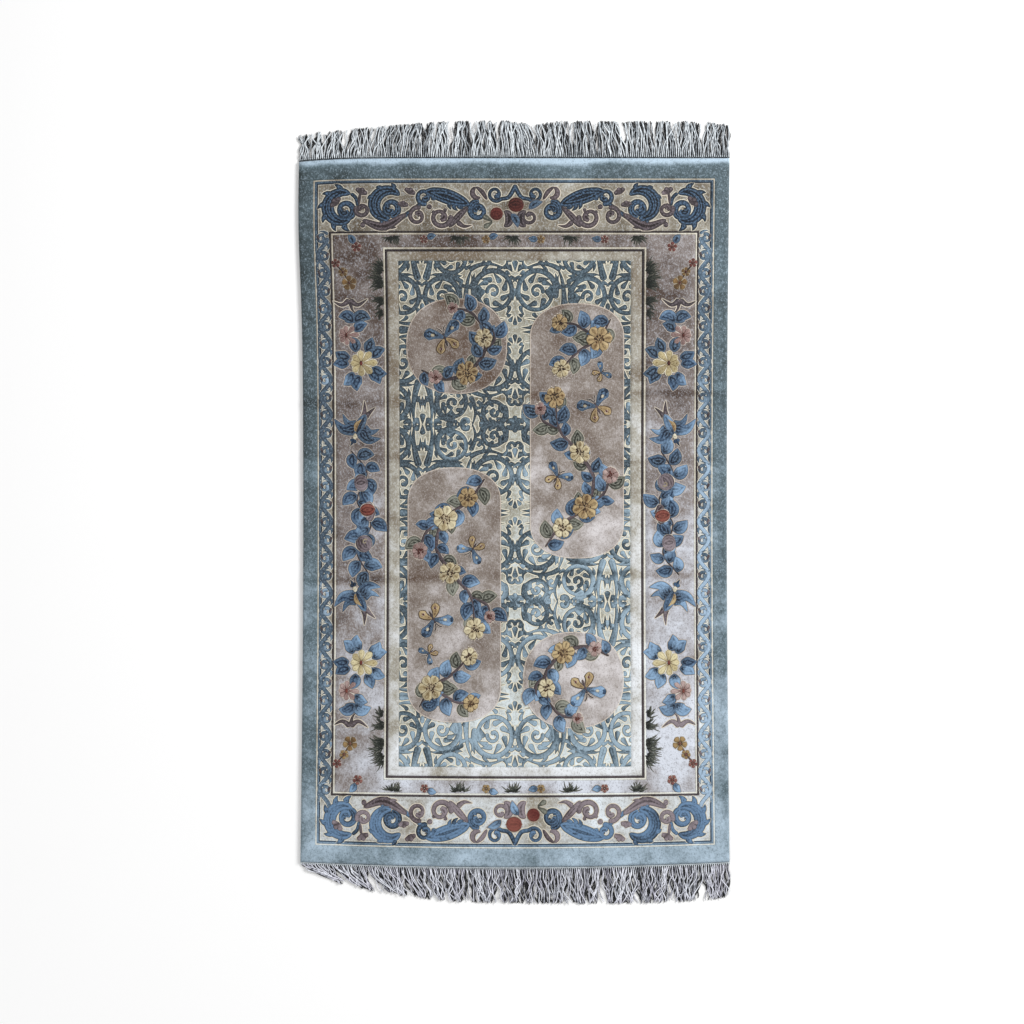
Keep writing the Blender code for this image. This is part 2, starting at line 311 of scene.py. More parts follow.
broad = silk.plus(swung(silk, patches, PATCH_SWING), swung(silk, clouds, CLOUD_SWING))
broad = silk.plus(silk.times(broad, silk_in["Patch"]), silk.times(silk.read("painted_light_and_tone"), silk_in["Painted Light"]))
fine = silk.plus(swung(silk, streaks, STREAK_SWING), swung(silk, tufts, TUFT_SWING))
fine = silk.times(silk.plus(swung(silk, knots, KNOT_SWING), fine), silk_in["Streak"])
shaded = silk.mix(silk.times(broad, -1.0, clamp=True), silk_in["Colour"], silk_in["Shade"])
lit = silk.mix(silk.times(broad, 1.0, clamp=True), shaded, silk_in["Shine"])
dark_grain = silk.times(silk.times(fine, -1.0, clamp=True), DARK_GRAIN)
light_grain = silk.times(silk.times(fine, 1.0, clamp=True), LIGHT_GRAIN)
grained = silk.mix(light_grain, silk.mix(dark_grain, lit, silk_in["Shade"]), silk_in["Shine"])
silk_tree.links.new(grained, silk_out["Colour"])
silk_tree.links.new(silk.plus(silk.times(streaks, 0.5), silk.times(knots, 0.5)), silk_out["Height"])


def linear(red, green, blue):
    """A colour as light, from the 0 to 255 values it is matched in."""
    share = np.array([red, green, blue]) / 255
    light = np.where(share <= 0.04045, share / 12.92, ((share + 0.055) / 1.055) ** 2.4)
    return (*light.tolist(), 1.0)


def silk_shader(name, roughness, sheen, relief=0.55):
    """A material with a Principled shader set for silk, and a bump that a height can be joined to."""
    material = bpy.data.materials.new(name)
    material.use_nodes = True
    nodes = Nodes(material.node_tree)
    shader = material.node_tree.nodes["Principled BSDF"]
    shader.inputs["Roughness"].default_value = roughness
    shader.inputs["Sheen Weight"].default_value = sheen
    shader.inputs["Sheen Roughness"].default_value = 0.45
    shader.inputs["Specular IOR Level"].default_value = 0.25
    bump = nodes.add("ShaderNodeBump", {"Strength": relief, "Distance": 0.0009})
    nodes.tree.links.new(bump.outputs[0], shader.inputs["Normal"])
    return material, nodes, shader, bump


def pile_silk(name, colour, shade, shine, streak=1.0, patch=1.0, lay=0.7):
    """Cut silk in one dyed colour, with a painted shade colour for where it reads dark and a painted sheen
    colour for where it reads light; lay weighs its painted light.
    """
    material, nodes, shader, bump = silk_shader(name, 0.62, 0.25)
    sockets = {"Colour": linear(*colour), "Shade": linear(*shade), "Shine": linear(*shine)}
    pile = nodes.add("ShaderNodeGroup", node_tree=silk_tree)
    for key, value in {**sockets, "Streak": streak, "Patch": patch, "Painted Light": lay}.items():
        pile.inputs[key].default_value = value
    nodes.tree.links.new(pile.outputs["Colour"], shader.inputs["Base Color"])
    nodes.tree.links.new(pile.outputs["Height"], bump.inputs["Height"])
    return material


def woven_back():
    """The back of the knots: little ribs of 1.3 mm in rows across the rug, grey-blue, a touch dusty, with
    painted shade in the hollows between the ribs.
    """
    material, nodes, shader, bump = silk_shader("woven_back", 0.8, 0.1)
    place = nodes.place()
    waves = []
    for direction, distortion in (("X", 1.0), ("Y", 1.2)):
        sockets = {"Vector": place, "Scale": 240.0, "Distortion": distortion, "Detail": 1.0}
        waves.append(nodes.add("ShaderNodeTexWave", sockets, bands_direction=direction).outputs["Fac"])
    ribs = nodes.times(*waves)
    tint = nodes.mix(nodes.noise(place, 18.0, 4.0), linear(120, 128, 130), linear(176, 178, 172))
    # Painted shade: the colour is darker where the ribs are low.
    colour = nodes.mix(nodes.times(ribs, 0.55), linear(92, 98, 102), tint)
    nodes.tree.links.new(colour, shader.inputs["Base Color"])
    nodes.tree.links.new(ribs, bump.inputs["Height"])
    return material


flat_x, flat_y = np.meshgrid(
    np.linspace(-RUG_WIDTH / 2, RUG_WIDTH / 2, FOUNDATION_STEPS[0] + 1),
    np.linspace(-RUG_LENGTH / 2, RUG_LENGTH / 2, FOUNDATION_STEPS[1] + 1),
)
count = flat_x.size
top_faces = grid_faces(*flat_x.shape)
index = np.arange(count).reshape(flat_x.shape)
rim = np.concatenate([index[0, :-1], index[:-1, -1], index[-1, :0:-1], index[:0:-1, 0]])
rim_next = np.roll(rim, -1)
rim_faces = np.stack([rim + count, rim_next + count, rim_next, rim], axis=-1)
rug_piece(
    "foundation",
    np.concatenate([flat_x.ravel(), flat_x.ravel()]),
    np.concatenate([flat_y.ravel(), flat_y.ravel()]),
    np.repeat([FOUNDATION_TOP, BACK_LEVEL], count),
    np.concatenate([top_faces, top_faces[:, ::-1] + count, rim_faces]),
    woven_back(),
    "silk_pile",
)
foundation = sheet_pieces.pop()
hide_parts("rug_body")


# The plain border and the grounds between the stripes: cut silk pile, each a frame of one colour. The
# carver's shears leave a V between neighbours, so each frame's edges dip, and the outer one slopes down to
# the foundation.
PILE_TOP = 0.0084
FIELD_TOP = 0.0080
DIP = 0.0009
DIP_LEVEL = 0.0074
BAND_STEPS_ACROSS = 110
BAND_STEPS_ALONG = 190
FIELD_STEPS = (80, 180)
# The lines between the frames: half width, half length and middle.
GUARD_LINE = (0.4262, 0.7090, -0.0030)
BLUE_LINE = (0.4232, 0.7060, -0.0030)
NAVY_LINE = (0.4188, 0.7016, -0.0030)
THIN_CREAM_LINE = (0.4166, 0.6994, -0.0030)
MAIN_BORDER = (0.4146, 0.6974, -0.0030)
BROWN_LINE = (0.3938, 0.6004, PATTERN_MIDDLE)
CREAM_LINE = (0.3898, 0.5964, PATTERN_MIDDLE)
SIDE_BAND = (0.3860, 0.5926, PATTERN_MIDDLE)
INNER_CREAM_LINE = (0.2812, 0.5657, PATTERN_MIDDLE)
INNER_BROWN_LINE = (0.2770, 0.5615, PATTERN_MIDDLE)
MARGIN = (0.2722, 0.5567, PATTERN_MIDDLE)
FIELD = (0.2493, 0.5380, PATTERN_MIDDLE)
# The outer edge's slope, as how far in and how high.
EDGE_SLOPE = ((0.0, 0.0022), (0.0008, 0.0058), (0.0028, 0.0078), (0.0055, 0.0084), (0.0085, 0.0084))
# The plain border's painted sheen: the head's last 11 mm and, fainter, its last 22 mm are painted lighter,
# each by amount, depth and softness.
HEAD_GLEAM = (2.0, 0.0110, 0.0027)
HEAD_HALO = (0.45, 0.022, 0.0045)


def frame_grid(outer, inner, steps, top, edge_rows=None):
    """A frame of pile between two rectangles: its rows run round the rug from the outer line to the inner
    one, and each is a square of half width 1, anticlockwise from its lower left corner, stretched to its
    size."""
    edge_rows = edge_rows or ((0.0, DIP_LEVEL), (DIP, top))
    rows = [(outer[0] - inset, outer[1] - inset, outer[2], height) for inset, height in edge_rows]
    start, end = np.array(rows[-1]), np.array([inner[0] + DIP, inner[1] + DIP, inner[2], top])
    rows += [start + (end - start) * step / steps for step in range(1, steps + 1)]
    rows = np.array([*rows, (*inner, DIP_LEVEL)])
    run = np.linspace(-1, 1, BAND_STEPS_ACROSS + 1)[:-1]
    rise = np.linspace(-1, 1, BAND_STEPS_ALONG + 1)[:-1]
    unit_x = np.concatenate([run, np.ones_like(rise), -run, -np.ones_like(rise)])
    unit_y = np.concatenate([-np.ones_like(run), rise, np.ones_like(run), -rise])
    return rows[:, 0:1] * unit_x, rows[:, 2:3] + rows[:, 1:2] * unit_y, rows[:, 3:4] + 0 * unit_x


def slab_grid(outer, steps_across, steps_along, top):
    """A filled rectangle of pile whose edges dip to the carver's V."""
    x = [[-outer[0]], np.linspace(DIP - outer[0], outer[0] - DIP, steps_across), [outer[0]]]
    y = [[-outer[1]], np.linspace(DIP - outer[1], outer[1] - DIP, steps_along), [outer[1]]]
    x, y = np.meshgrid(np.concatenate(x), np.concatenate(y) + outer[2])
    z = np.full(x.shape, top)
    z[0], z[-1], z[:, 0], z[:, -1] = (DIP_LEVEL,) * 4
    return x, y, z


def pile_piece(name, grids, material, closed=True, brighten=None):
    """One or several grids (x, y, z) as one piece of pile; brighten, if given, adds painted light."""
    faces, total = [], 0
    for x, y, z in grids:
        faces.append(grid_faces(*x.shape, closed=closed) + total)
        total += x.size
    x, y, z = (np.concatenate([grid[axis].ravel() for grid in grids]) for axis in range(3))
    painted_light_and_tone = painted_light_at(x, y) + (brighten(x, y) if brighten else 0)
    rug_piece(name, x, y, z, np.vstack(faces), material, "silk_pile", painted_light_and_tone)


def fade(distance, softness):
    """A smooth step from 0 to 1 where the distance passes nought."""
    return 1 / (1 + np.exp(-distance / softness))


def painted_border_light(x, y):
    """The plain border's painted light: smooth steps paint its head and foot ends lighter and its outer edges
    darker, and a bell curve paints the middle of its right side darker."""
    wave = 0.0016 * np.sin(23 * x)
    head = HEAD_GLEAM[0] * fade(y - RUG_LENGTH / 2 + HEAD_GLEAM[1] + wave, HEAD_GLEAM[2])
    head += HEAD_HALO[0] * fade(y - RUG_LENGTH / 2 + HEAD_HALO[1], HEAD_HALO[2])
    foot = 0.10 * fade(-0.705 - y, 0.008)
    sides = -0.25 * fade(np.abs(x) - 0.444, 0.004)
    right = -0.42 * fade(x - 0.42, 0.005) * np.exp(-(((y + 0.15) / 0.38) ** 2))
    return head + foot + sides + right


# Each pile dye: its colour, its painted shade colour, its painted sheen colour, then its streak, patch and how
# strongly its painted light shows.
teal = pile_silk("teal_silk", (88, 105, 113), (42, 52, 54), (176, 196, 212), 0.72, 0.85, 0.68)
cream = pile_silk("cream_silk", (150, 144, 130), (84, 74, 60), (216, 224, 230), 0.72, 1.1)
taupe = pile_silk("taupe_silk", (130, 122, 119), (68, 54, 46), (205, 210, 220), 0.75, 1.2, 0.9)
margin_cream = pile_silk("margin_cream_silk", (163, 160, 149), (108, 96, 80), (222, 226, 230), 0.7, 1.4, 1.0)
field_cream = pile_silk("field_cream_silk", (164, 163, 150), (106, 97, 80), (218, 230, 236), 0.75, 1.0, 0.9)
RUG_EDGE = (RUG_WIDTH / 2, RUG_LENGTH / 2, 0.0)
plain_grid = frame_grid(RUG_EDGE, GUARD_LINE, 7, PILE_TOP, EDGE_SLOPE)
pile_piece("plain_border", [plain_grid], teal, brighten=painted_border_light)
pile_piece("main_border_ground", [frame_grid(MAIN_BORDER, BROWN_LINE, 12, PILE_TOP)], cream)
pile_piece("side_band_ground", [frame_grid(SIDE_BAND, INNER_CREAM_LINE, 12, PILE_TOP)], taupe)
pile_piece("margin_ground", [frame_grid(MARGIN, FIELD, 4, PILE_TOP)], margin_cream)
pile_piece("field_ground", [slab_grid(FIELD, *FIELD_STEPS, FIELD_TOP)], field_cream, closed=False)


# The stripes between the borders: two or three knots of plain colour that run round the rug, left standing a
# little proud when the V is cut on both sides of them.
STRIPE_TOP = 0.0089
STRIPE_STEPS = 2
CREAM_STRIPES = (
    (GUARD_LINE, BLUE_LINE), (THIN_CREAM_LINE, MAIN_BORDER), (CREAM_LINE, SIDE_BAND),
    (INNER_CREAM_LINE, INNER_BROWN_LINE),
)
BLUE_STRIPES = ((BLUE_LINE, NAVY_LINE),)
NAVY_STRIPES = ((NAVY_LINE, THIN_CREAM_LINE),)
BROWN_STRIPES = ((BROWN_LINE, CREAM_LINE), (INNER_BROWN_LINE, MARGIN))
# Each stripe: its lines, its dye, its colour, painted shade colour, painted sheen colour and streak.
for name, lines, dye_name, colour, shade, shine, streak in (
    ("cream_stripes", CREAM_STRIPES, "stripe_cream_silk",
     (200, 195, 180), (140, 130, 114), (232, 236, 232), 0.7),
    ("blue_stripe", BLUE_STRIPES, "stripe_blue_silk", (78, 97, 114), (34, 48, 62), (134, 158, 180), 0.8),
    ("navy_stripe", NAVY_STRIPES, "stripe_navy_silk", (34, 50, 68), (14, 24, 36), (66, 88, 112), 0.8),
    ("brown_stripes", BROWN_STRIPES, "stripe_brown_silk", (44, 36, 38), (18, 13, 15), (84, 76, 80), 0.8),
):
    grids = [frame_grid(outer, inner, STRIPE_STEPS, STRIPE_TOP) for outer, inner in lines]
    pile_piece(name, grids, pile_silk(dye_name, colour, shade, shine, streak))


# The motifs: every stem, leaf and petal is knotted in its own dye with a pale line two knots wide round it,
# then carved so that it stands proud. A motif is a stroke: a kind, a half width and the points it runs
# through, in cartoon squares of 2.13 mm, x to the right and y to the head from the middle of the pattern.
SQUARE = 0.00213
LINE_WIDTH = 0.9
MOTIF_LIFT = 0.00075
RIM_RISE = 0.7
LAYER = 0.00016
STATION = 1.7
SPAN_STEPS = 12
tones = np.random.default_rng(7)
knotted = []


def curve_through(points):
    """A Catmull-Rom curve through the points, at 12 places a span, with the length run at each place."""
    points = np.array(points, dtype=float)
    ends = 2 * points[[0, -1]] - points[[1, -2]]
    knots = np.vstack([ends[:1], points, ends[1:]])
    t = np.linspace(0, 1, SPAN_STEPS + 1)[:-1, None]
    before, start, end, after = (knots[i : len(knots) - 3 + i, None] for i in range(4))
    curve = 0.5 * (
        2 * start
        + (end - before) * t
        + (2 * before - 5 * start + 4 * end - after) * t**2
        + (3 * start - before - 3 * end + after) * t**3
    )
    curve = np.vstack([curve.reshape(-1, 2), points[-1:]])
    run = np.concatenate([[0.0], np.cumsum(np.hypot(*np.diff(curve, axis=0).T))])
    return curve, run


def half_widths(kind, width, run, length):
    """A stroke's half width at each length run. A stem is even, a swell a half sine on a base, a horn tapers
    by a power, a curl thins and ends in a ball, a leaf is a skewed half sine, a drop widens to a round end,
    a petal has a broad round tip, and any other kind is an ellipse. Round ends are quarter circles."""
    share = run / length
    start = np.sqrt(np.clip(1 - (1 - np.clip(run / width, 0, 1)) ** 2, 0, 1))
    end = np.sqrt(np.clip(1 - (1 - np.clip((length - run) / width, 0, 1)) ** 2, 0, 1))
    if kind == "stem":
        return width * start * end
    if kind == "swell":
        return width * (0.45 + 0.55 * np.sin(math.pi * share)) * start * end
    if kind == "horn":
        return width * np.clip(1 - share, 0, 1) ** 0.75 * np.sqrt(np.clip(run / width / 0.6, 0, 1))
    if kind == "curl":
        ball = 0.85 * np.exp(-(((length - run - 1.2 * width) / (1.3 * width)) ** 2))
        return width * (1 - 0.42 * share + ball) * start * end
    if kind == "leaf":
        return width * np.sin(math.pi * np.clip(share, 0, 1) ** 0.82) ** 0.85
    if kind == "drop":
        return width * np.clip(share * 1.25, 0, 1) ** 0.9 * end
    if kind == "petal":
        broad = np.clip(share / 0.72, 0, 1)
        return width * (0.28 + 0.72 * broad**1.1) * np.sqrt(np.clip((1 - share) / 0.28, 0, 1))
    return width * np.sqrt(np.clip(1 - (2 * share - 1) ** 2, 0, 1))


def round_about(x, y, reaches, angles):
    """Places at the given reaches and angles, in radians, about (x, y)."""
    return tuple((x + out * math.cos(angle), y + out * math.sin(angle)) for out, angle in zip(reaches, angles))


def spiral(x, y, start_reach, end_reach, start, sweep):
    """A spiral's places about (x, y): it begins at the angle start, in degrees, turns through sweep and
    draws in evenly from one reach to the other. Equal reaches give an arc."""
    share = np.linspace(0, 1, max(4, int(abs(sweep) / 36) + 2))
    angle = np.radians(start + sweep * share)
    reach = start_reach + (end_reach - start_reach) * share
    places = np.stack([x + reach * np.cos(angle), y + reach * np.sin(angle)], axis=-1).round(2)
    return tuple(map(tuple, places.tolist()))


def to_hundredths(places):
    """The places rounded to a hundredth of a square."""
    return tuple((round(x, 2), round(y, 2)) for x, y in places)


def flames(x, y, reach, depth, angles, lean, width, kind="horn"):
    """Curved strokes off a ring about (x, y): inwards for a positive depth, outwards for a negative one."""
    outs, lean = (reach, reach - depth * 0.6, reach - depth), math.radians(lean)
    turns = [(angle, angle + lean * 0.4, angle + lean) for angle in np.radians(angles)]
    return [(kind, width, to_hundredths(round_about(x, y, outs, turn))) for turn in turns]


def palmette(x, y, reach, count, lean):
    """Drops fanned out from (x, y) about the angle lean, the middle one the longest."""
    strokes = []
    for number in range(count):
        aside = number - (count - 1) / 2
        angle = math.radians(lean + 34 * aside)
        places = round_about(x, y, (0.3 * reach, reach * (1 - 0.13 * abs(aside))), (angle, angle))
        strokes.append(("drop", 0.19 * reach, to_hundredths(places)))
    return strokes


def stroke_grid(kind, width, points, line):
    """Planned places over one stroke, five across: its middle, its two sides and the pale line beyond each.
    With them come how near the edge each lies, how far along as a share, how deep inside, and the length
    run."""
    curve, run = curve_through(points)
    length = run[-1]
    count = max(5, int(length / STATION))
    near = width * np.array([0.12, 0.45])
    stops = np.concatenate([np.linspace(0, length, count), near, length - near])
    stops = np.unique(np.clip(stops, 0, length).round(3))
    place = np.stack([np.interp(stops, run, curve[:, 0]), np.interp(stops, run, curve[:, 1])], axis=-1)
    ahead = np.gradient(place, stops, axis=0)
    ahead /= np.maximum(np.hypot(*ahead.T)[:, None], 1e-6)
    half = half_widths(kind, width, stops, length)
    place = np.vstack([place[:1] - ahead[:1] * line, place, place[-1:] + ahead[-1:] * line])
    ahead = np.vstack([ahead[:1], ahead, ahead[-1:]])
    outer = np.concatenate([[0.0], half + line, [0.0]])
    half = np.concatenate([[0.0], half, [0.0]])
    solid = np.clip(half / (0.3 * width), 0, 1)
    left = np.stack([-ahead[:, 1], ahead[:, 0]], axis=-1)
    across = np.stack([outer, half, np.zeros_like(half), -half, -outer], axis=-1)
    grid = place[:, None] + across[..., None] * left[:, None]
    edge = np.stack([0 * solid, 0.35 + 0.65 * solid, 1 + solid, 0.35 + 0.65 * solid, 0 * solid], axis=-1)
    edge[[0, -1]] = 0.0
    depth = np.stack([0 * half - line, 0 * half, half, 0 * half, 0 * half - line], axis=-1)
    depth[[0, -1]] = -line
    along = np.concatenate([[0.0], stops / length, [1.0]])[:, None] + 0 * edge
    run = np.concatenate([[0.0], stops, [length]])[:, None] + 0 * edge
    return grid, edge, along, depth, run


BOTH_SIDES = ("same", "mirrored")
BOTH_ENDS = ("same", "turned")
UPENDED = ("same", "upended")
ALL_CORNERS = ("same", "mirrored", "upended", "turned")


def knot_motifs(dye, strokes, level=0, copies=("same",), line=LINE_WIDTH, ground=PILE_TOP):
    """Adds strokes to the next piece of motifs, also mirrored or turned about the middle of the pattern. A
    level is a layer that lies over the ones below it."""
    for copy in copies:
        flip_x = -1 if copy in ("mirrored", "turned") else 1
        flip_y = -1 if copy in ("upended", "turned") else 1
        for kind, width, points in strokes:
            moved = [(flip_x * x, flip_y * y) for x, y in points]
            knotted.append((dye, kind, width, moved, ground + level * LAYER, line))


# Motif silk: the dye deepens to another at a petal's root, veins run down the middle and out to the sides,
# and the carved edge has a painted groove shadow just inside it, a pale line beyond it and a painted highlight
# along the rim a little farther in. The pale line is painted darker where the pile's painted light is low.
MOTIF_SILK = (("Streak", 0.75), ("Painted Light", 1.25), ("Patch", 0.9))
WANDER_SCALE = 420.0
SIDE_RIBS, SIDE_RIB_DEPTH = 1.7, 0.22
LONG_RIBS, LONG_RIB_DEPTH = 2.1, 0.66
MIDDLE_START, MIDDLE_SHARPNESS = 1.66, 5.0
# Where the painted rim highlight lies; and where the painted groove shadow lies, how sharp it is and how dark.
RIM_HIGHLIGHT_PLACE = 0.9
GROOVE_SHADOW_PLACE, GROOVE_SHADOW_SHARPNESS, GROOVE_SHADOW_DARK = 0.16, 2.4, 0.95
motif_tree, motif, motif_in, motif_out = group_tree(
    "motif_silk",
    COLOUR_INPUTS
    + [("Line", COLOUR, GREY), ("Root", COLOUR, GREY)]
    + [("Root Reach", VALUE, 0.0), ("Vein", VALUE, 0.0), ("Rim", VALUE, 0.0)],
    SILK_OUTPUTS,
)
edge_depth, lay = motif.read("depth"), motif.read("painted_light_and_tone")
pile = motif.add("ShaderNodeGroup", node_tree=silk_tree)
for key in ("Colour", "Shade", "Shine"):
    motif_tree.links.new(motif_in[key], pile.inputs[key])
for key, value in MOTIF_SILK:
    pile.inputs[key].default_value = value
wander = swung(motif, motif.noise(motif.place(), WANDER_SCALE, 1.0), 0.5)
root_share = motif.minus(motif_in["Root Reach"], motif.plus(motif.read("along"), wander))
rooted = motif.mix(motif.times(root_share, 4.0, clamp=True), pile.outputs["Colour"], motif_in["Root"])
sideways = motif.plus(motif.times(motif.read("run"), SIDE_RIBS), motif.times(edge_depth, 1.3))
sideways = motif.times(motif.math("SINE", motif.plus(sideways, motif.times(wander, 9.0))), SIDE_RIB_DEPTH)
lengthwise = motif.plus(motif.times(edge_depth, LONG_RIBS), motif.times(wander, 7.0))
ribs = motif.plus(sideways, motif.times(motif.math("SINE", lengthwise), LONG_RIB_DEPTH))
middle = motif.times(motif.minus(motif.read("edge"), MIDDLE_START), MIDDLE_SHARPNESS, clamp=True)
dark_vein = motif.times(motif.plus(middle, ribs), motif.times(motif_in["Vein"], 0.7), clamp=True)
light_vein = motif.times(motif.times(ribs, -1.0), motif_in["Vein"], clamp=True)
veined = motif.mix(light_vein, motif.mix(dark_vein, rooted, motif_in["Shade"]), motif_in["Shine"])
# Painted highlight along the rim, mixed towards the painted sheen colour.
rim_highlight = motif.minus(1.0, motif.math("ABSOLUTE", motif.minus(edge_depth, RIM_HIGHLIGHT_PLACE)), clamp=True)
rim_highlighted = motif.mix(motif.times(rim_highlight, motif_in["Rim"], clamp=True), veined, motif_in["Shine"])
# Painted groove shadow just inside the pale line, mixed towards the painted shade colour.
groove_shadow = motif.times(motif.math("ABSOLUTE", motif.minus(edge_depth, GROOVE_SHADOW_PLACE)), GROOVE_SHADOW_SHARPNESS)
groove_shadow = motif.minus(1.0, groove_shadow, clamp=True)
cut = motif.mix(motif.times(groove_shadow, GROOVE_SHADOW_DARK), rim_highlighted, motif_in["Shade"])
on_line = motif.times(motif.minus(-0.02, edge_depth), 9.0, clamp=True)
# Painted shade on the pale line where the pile's painted light is low.
line_shade = motif.times(motif.minus(0.05, lay), 0.28, clamp=True)
line_colour = motif.mix(line_shade, motif_in["Line"], pile.outputs["Colour"])
motif_tree.links.new(motif.mix(on_line, cut, line_colour), motif_out["Colour"])
groove = motif.times(motif.math("ABSOLUTE", motif.plus(edge_depth, 0.05)), 1.6, clamp=True)
relief = motif.plus(motif.times(pile.outputs["Height"], 0.55), motif.times(groove, 0.9))
motif_tree.links.new(motif.plus(relief, motif.times(light_vein, 0.2)), motif_out["Height"])


# The dyes, each as its colour, its painted shade colour, its painted sheen colour, the line round it and the
# heart it deepens to, and then how far along the heart reaches, how strong its veins are and how strong its
# painted rim highlight is.
DYE_COLOURS = ("dye", "dye_painted_shade", "dye_painted_sheen", "dye_line", "dye_heart")
DYE_HABITS = ("heart_reach", "vein", "rim")
# Painted light on the strokes: one side of each and its tip are painted lighter; the last is the reach of a
# random tone for each whole stroke.
SIDE_LIT = 0.30
TIP_LIT = 0.35
STROKE_TONE = 0.55
MOTIF_DYES = {
    "slate": ((44, 61, 71), (14, 23, 30), (150, 172, 187), (222, 216, 196), (34, 48, 58), -1.0, 0.28, 0.1),
    "blue": ((9, 24, 40), (2, 6, 13), (100, 130, 162), (206, 200, 182), (5, 12, 24), -1.0, 0.6, 0.1),
    "vine_blue": ((66, 87, 104), (26, 40, 54), (160, 184, 206), (216, 214, 202), (50, 68, 86), -1.0, 0.3, 0.1),
    "leaf_blue": ((28, 51, 78), (6, 15, 28), (132, 162, 192), (176, 166, 156), (8, 20, 38), 0.42, 0.4, 0.3),
    "navy": ((14, 30, 52), (4, 9, 19), (66, 94, 124), (182, 172, 158), (6, 12, 22), -1.0, 0.3, 0.2),
    "mauve": ((62, 50, 53), (24, 17, 19), (138, 127, 133), (206, 196, 180), (34, 27, 31), -1.0, 0.55, 0.15),
    "branch": ((56, 46, 48), (24, 17, 19), (112, 99, 103), (178, 168, 158), (24, 17, 19), -1.0, 0.6, 0.15),
    "dark_red": ((86, 27, 22), (40, 9, 7), (126, 70, 60), (166, 150, 134), (34, 12, 10), -1.0, 0.3, 0.1),
    "brick": ((100, 42, 34), (50, 16, 13), (138, 84, 72), (190, 178, 166), (46, 17, 15), -1.0, 0.8, 0.15),
    "plum": ((94, 45, 41), (50, 18, 16), (140, 94, 86), (170, 156, 146), (40, 15, 13), 0.4, 0.3, 0.2),
    "pink": ((120, 92, 87), (74, 46, 42), (176, 155, 150), (200, 190, 180), (86, 34, 30), 0.40, 0.4, 0.45),
    "gold": ((124, 97, 62), (66, 45, 25), (184, 164, 124), (58, 40, 24), (76, 42, 18), 0.46, 0.5, 0.7),
    "pale_gold": ((158, 142, 106), (96, 77, 49), (210, 201, 170), (78, 60, 38), (90, 56, 28), 0.36, 0.4, 0.7),
    "daisy": ((164, 148, 106), (98, 80, 46), (210, 200, 162), (214, 208, 186), (98, 74, 40), 0.26, 0.5, 0.4),
    "ochre": ((112, 83, 46), (60, 40, 20), (156, 130, 88), (164, 152, 130), (50, 28, 12), 0.4, 0.2, 0.2),
    "olive": ((70, 71, 62), (27, 28, 22), (138, 140, 129), (180, 173, 158), (30, 32, 26), 0.30, 0.9, 0.25),
    "pine": ((50, 56, 48), (16, 21, 17), (98, 106, 94), (60, 60, 54), (12, 16, 13), 0.55, 0.3, 0.0),
    "needle": ((82, 86, 77), (42, 45, 38), (142, 146, 136), (120, 114, 106), (28, 32, 27), 0.40, 0.3, 0.0),
    "ivory": ((176, 166, 138), (112, 96, 66), (222, 220, 204), (206, 198, 182), (102, 92, 74), -1.0, 0.5, 0.3),
    "seed": ((52, 30, 17), (24, 13, 8), (104, 74, 47), (90, 64, 38), (24, 13, 8), -1.0, 0.0, 0.0),
    "rose_line": (
        (186, 176, 162), (144, 134, 118), (214, 210, 202), (190, 180, 168), (144, 134, 118), -1.0, 0.0, 0.0,
    ),
}
DYE_ORDER = list(MOTIF_DYES)
motif_silk, motif_nodes, motif_shader, motif_bump = silk_shader("motif_silk", 0.6, 0.25)
made = motif_nodes.add("ShaderNodeGroup", node_tree=motif_tree)
for socket, key in zip(("Colour", "Shade", "Shine", "Line", "Root"), DYE_COLOURS):
    motif_nodes.tree.links.new(motif_nodes.read(key, "Color"), made.inputs[socket])
for socket, key in zip(("Root Reach", "Vein", "Rim"), DYE_HABITS):
    motif_nodes.tree.links.new(motif_nodes.read(key), made.inputs[socket])
motif_nodes.tree.links.new(made.outputs["Colour"], motif_shader.inputs["Base Color"])
motif_nodes.tree.links.new(made.outputs["Height"], motif_bump.inputs["Height"])


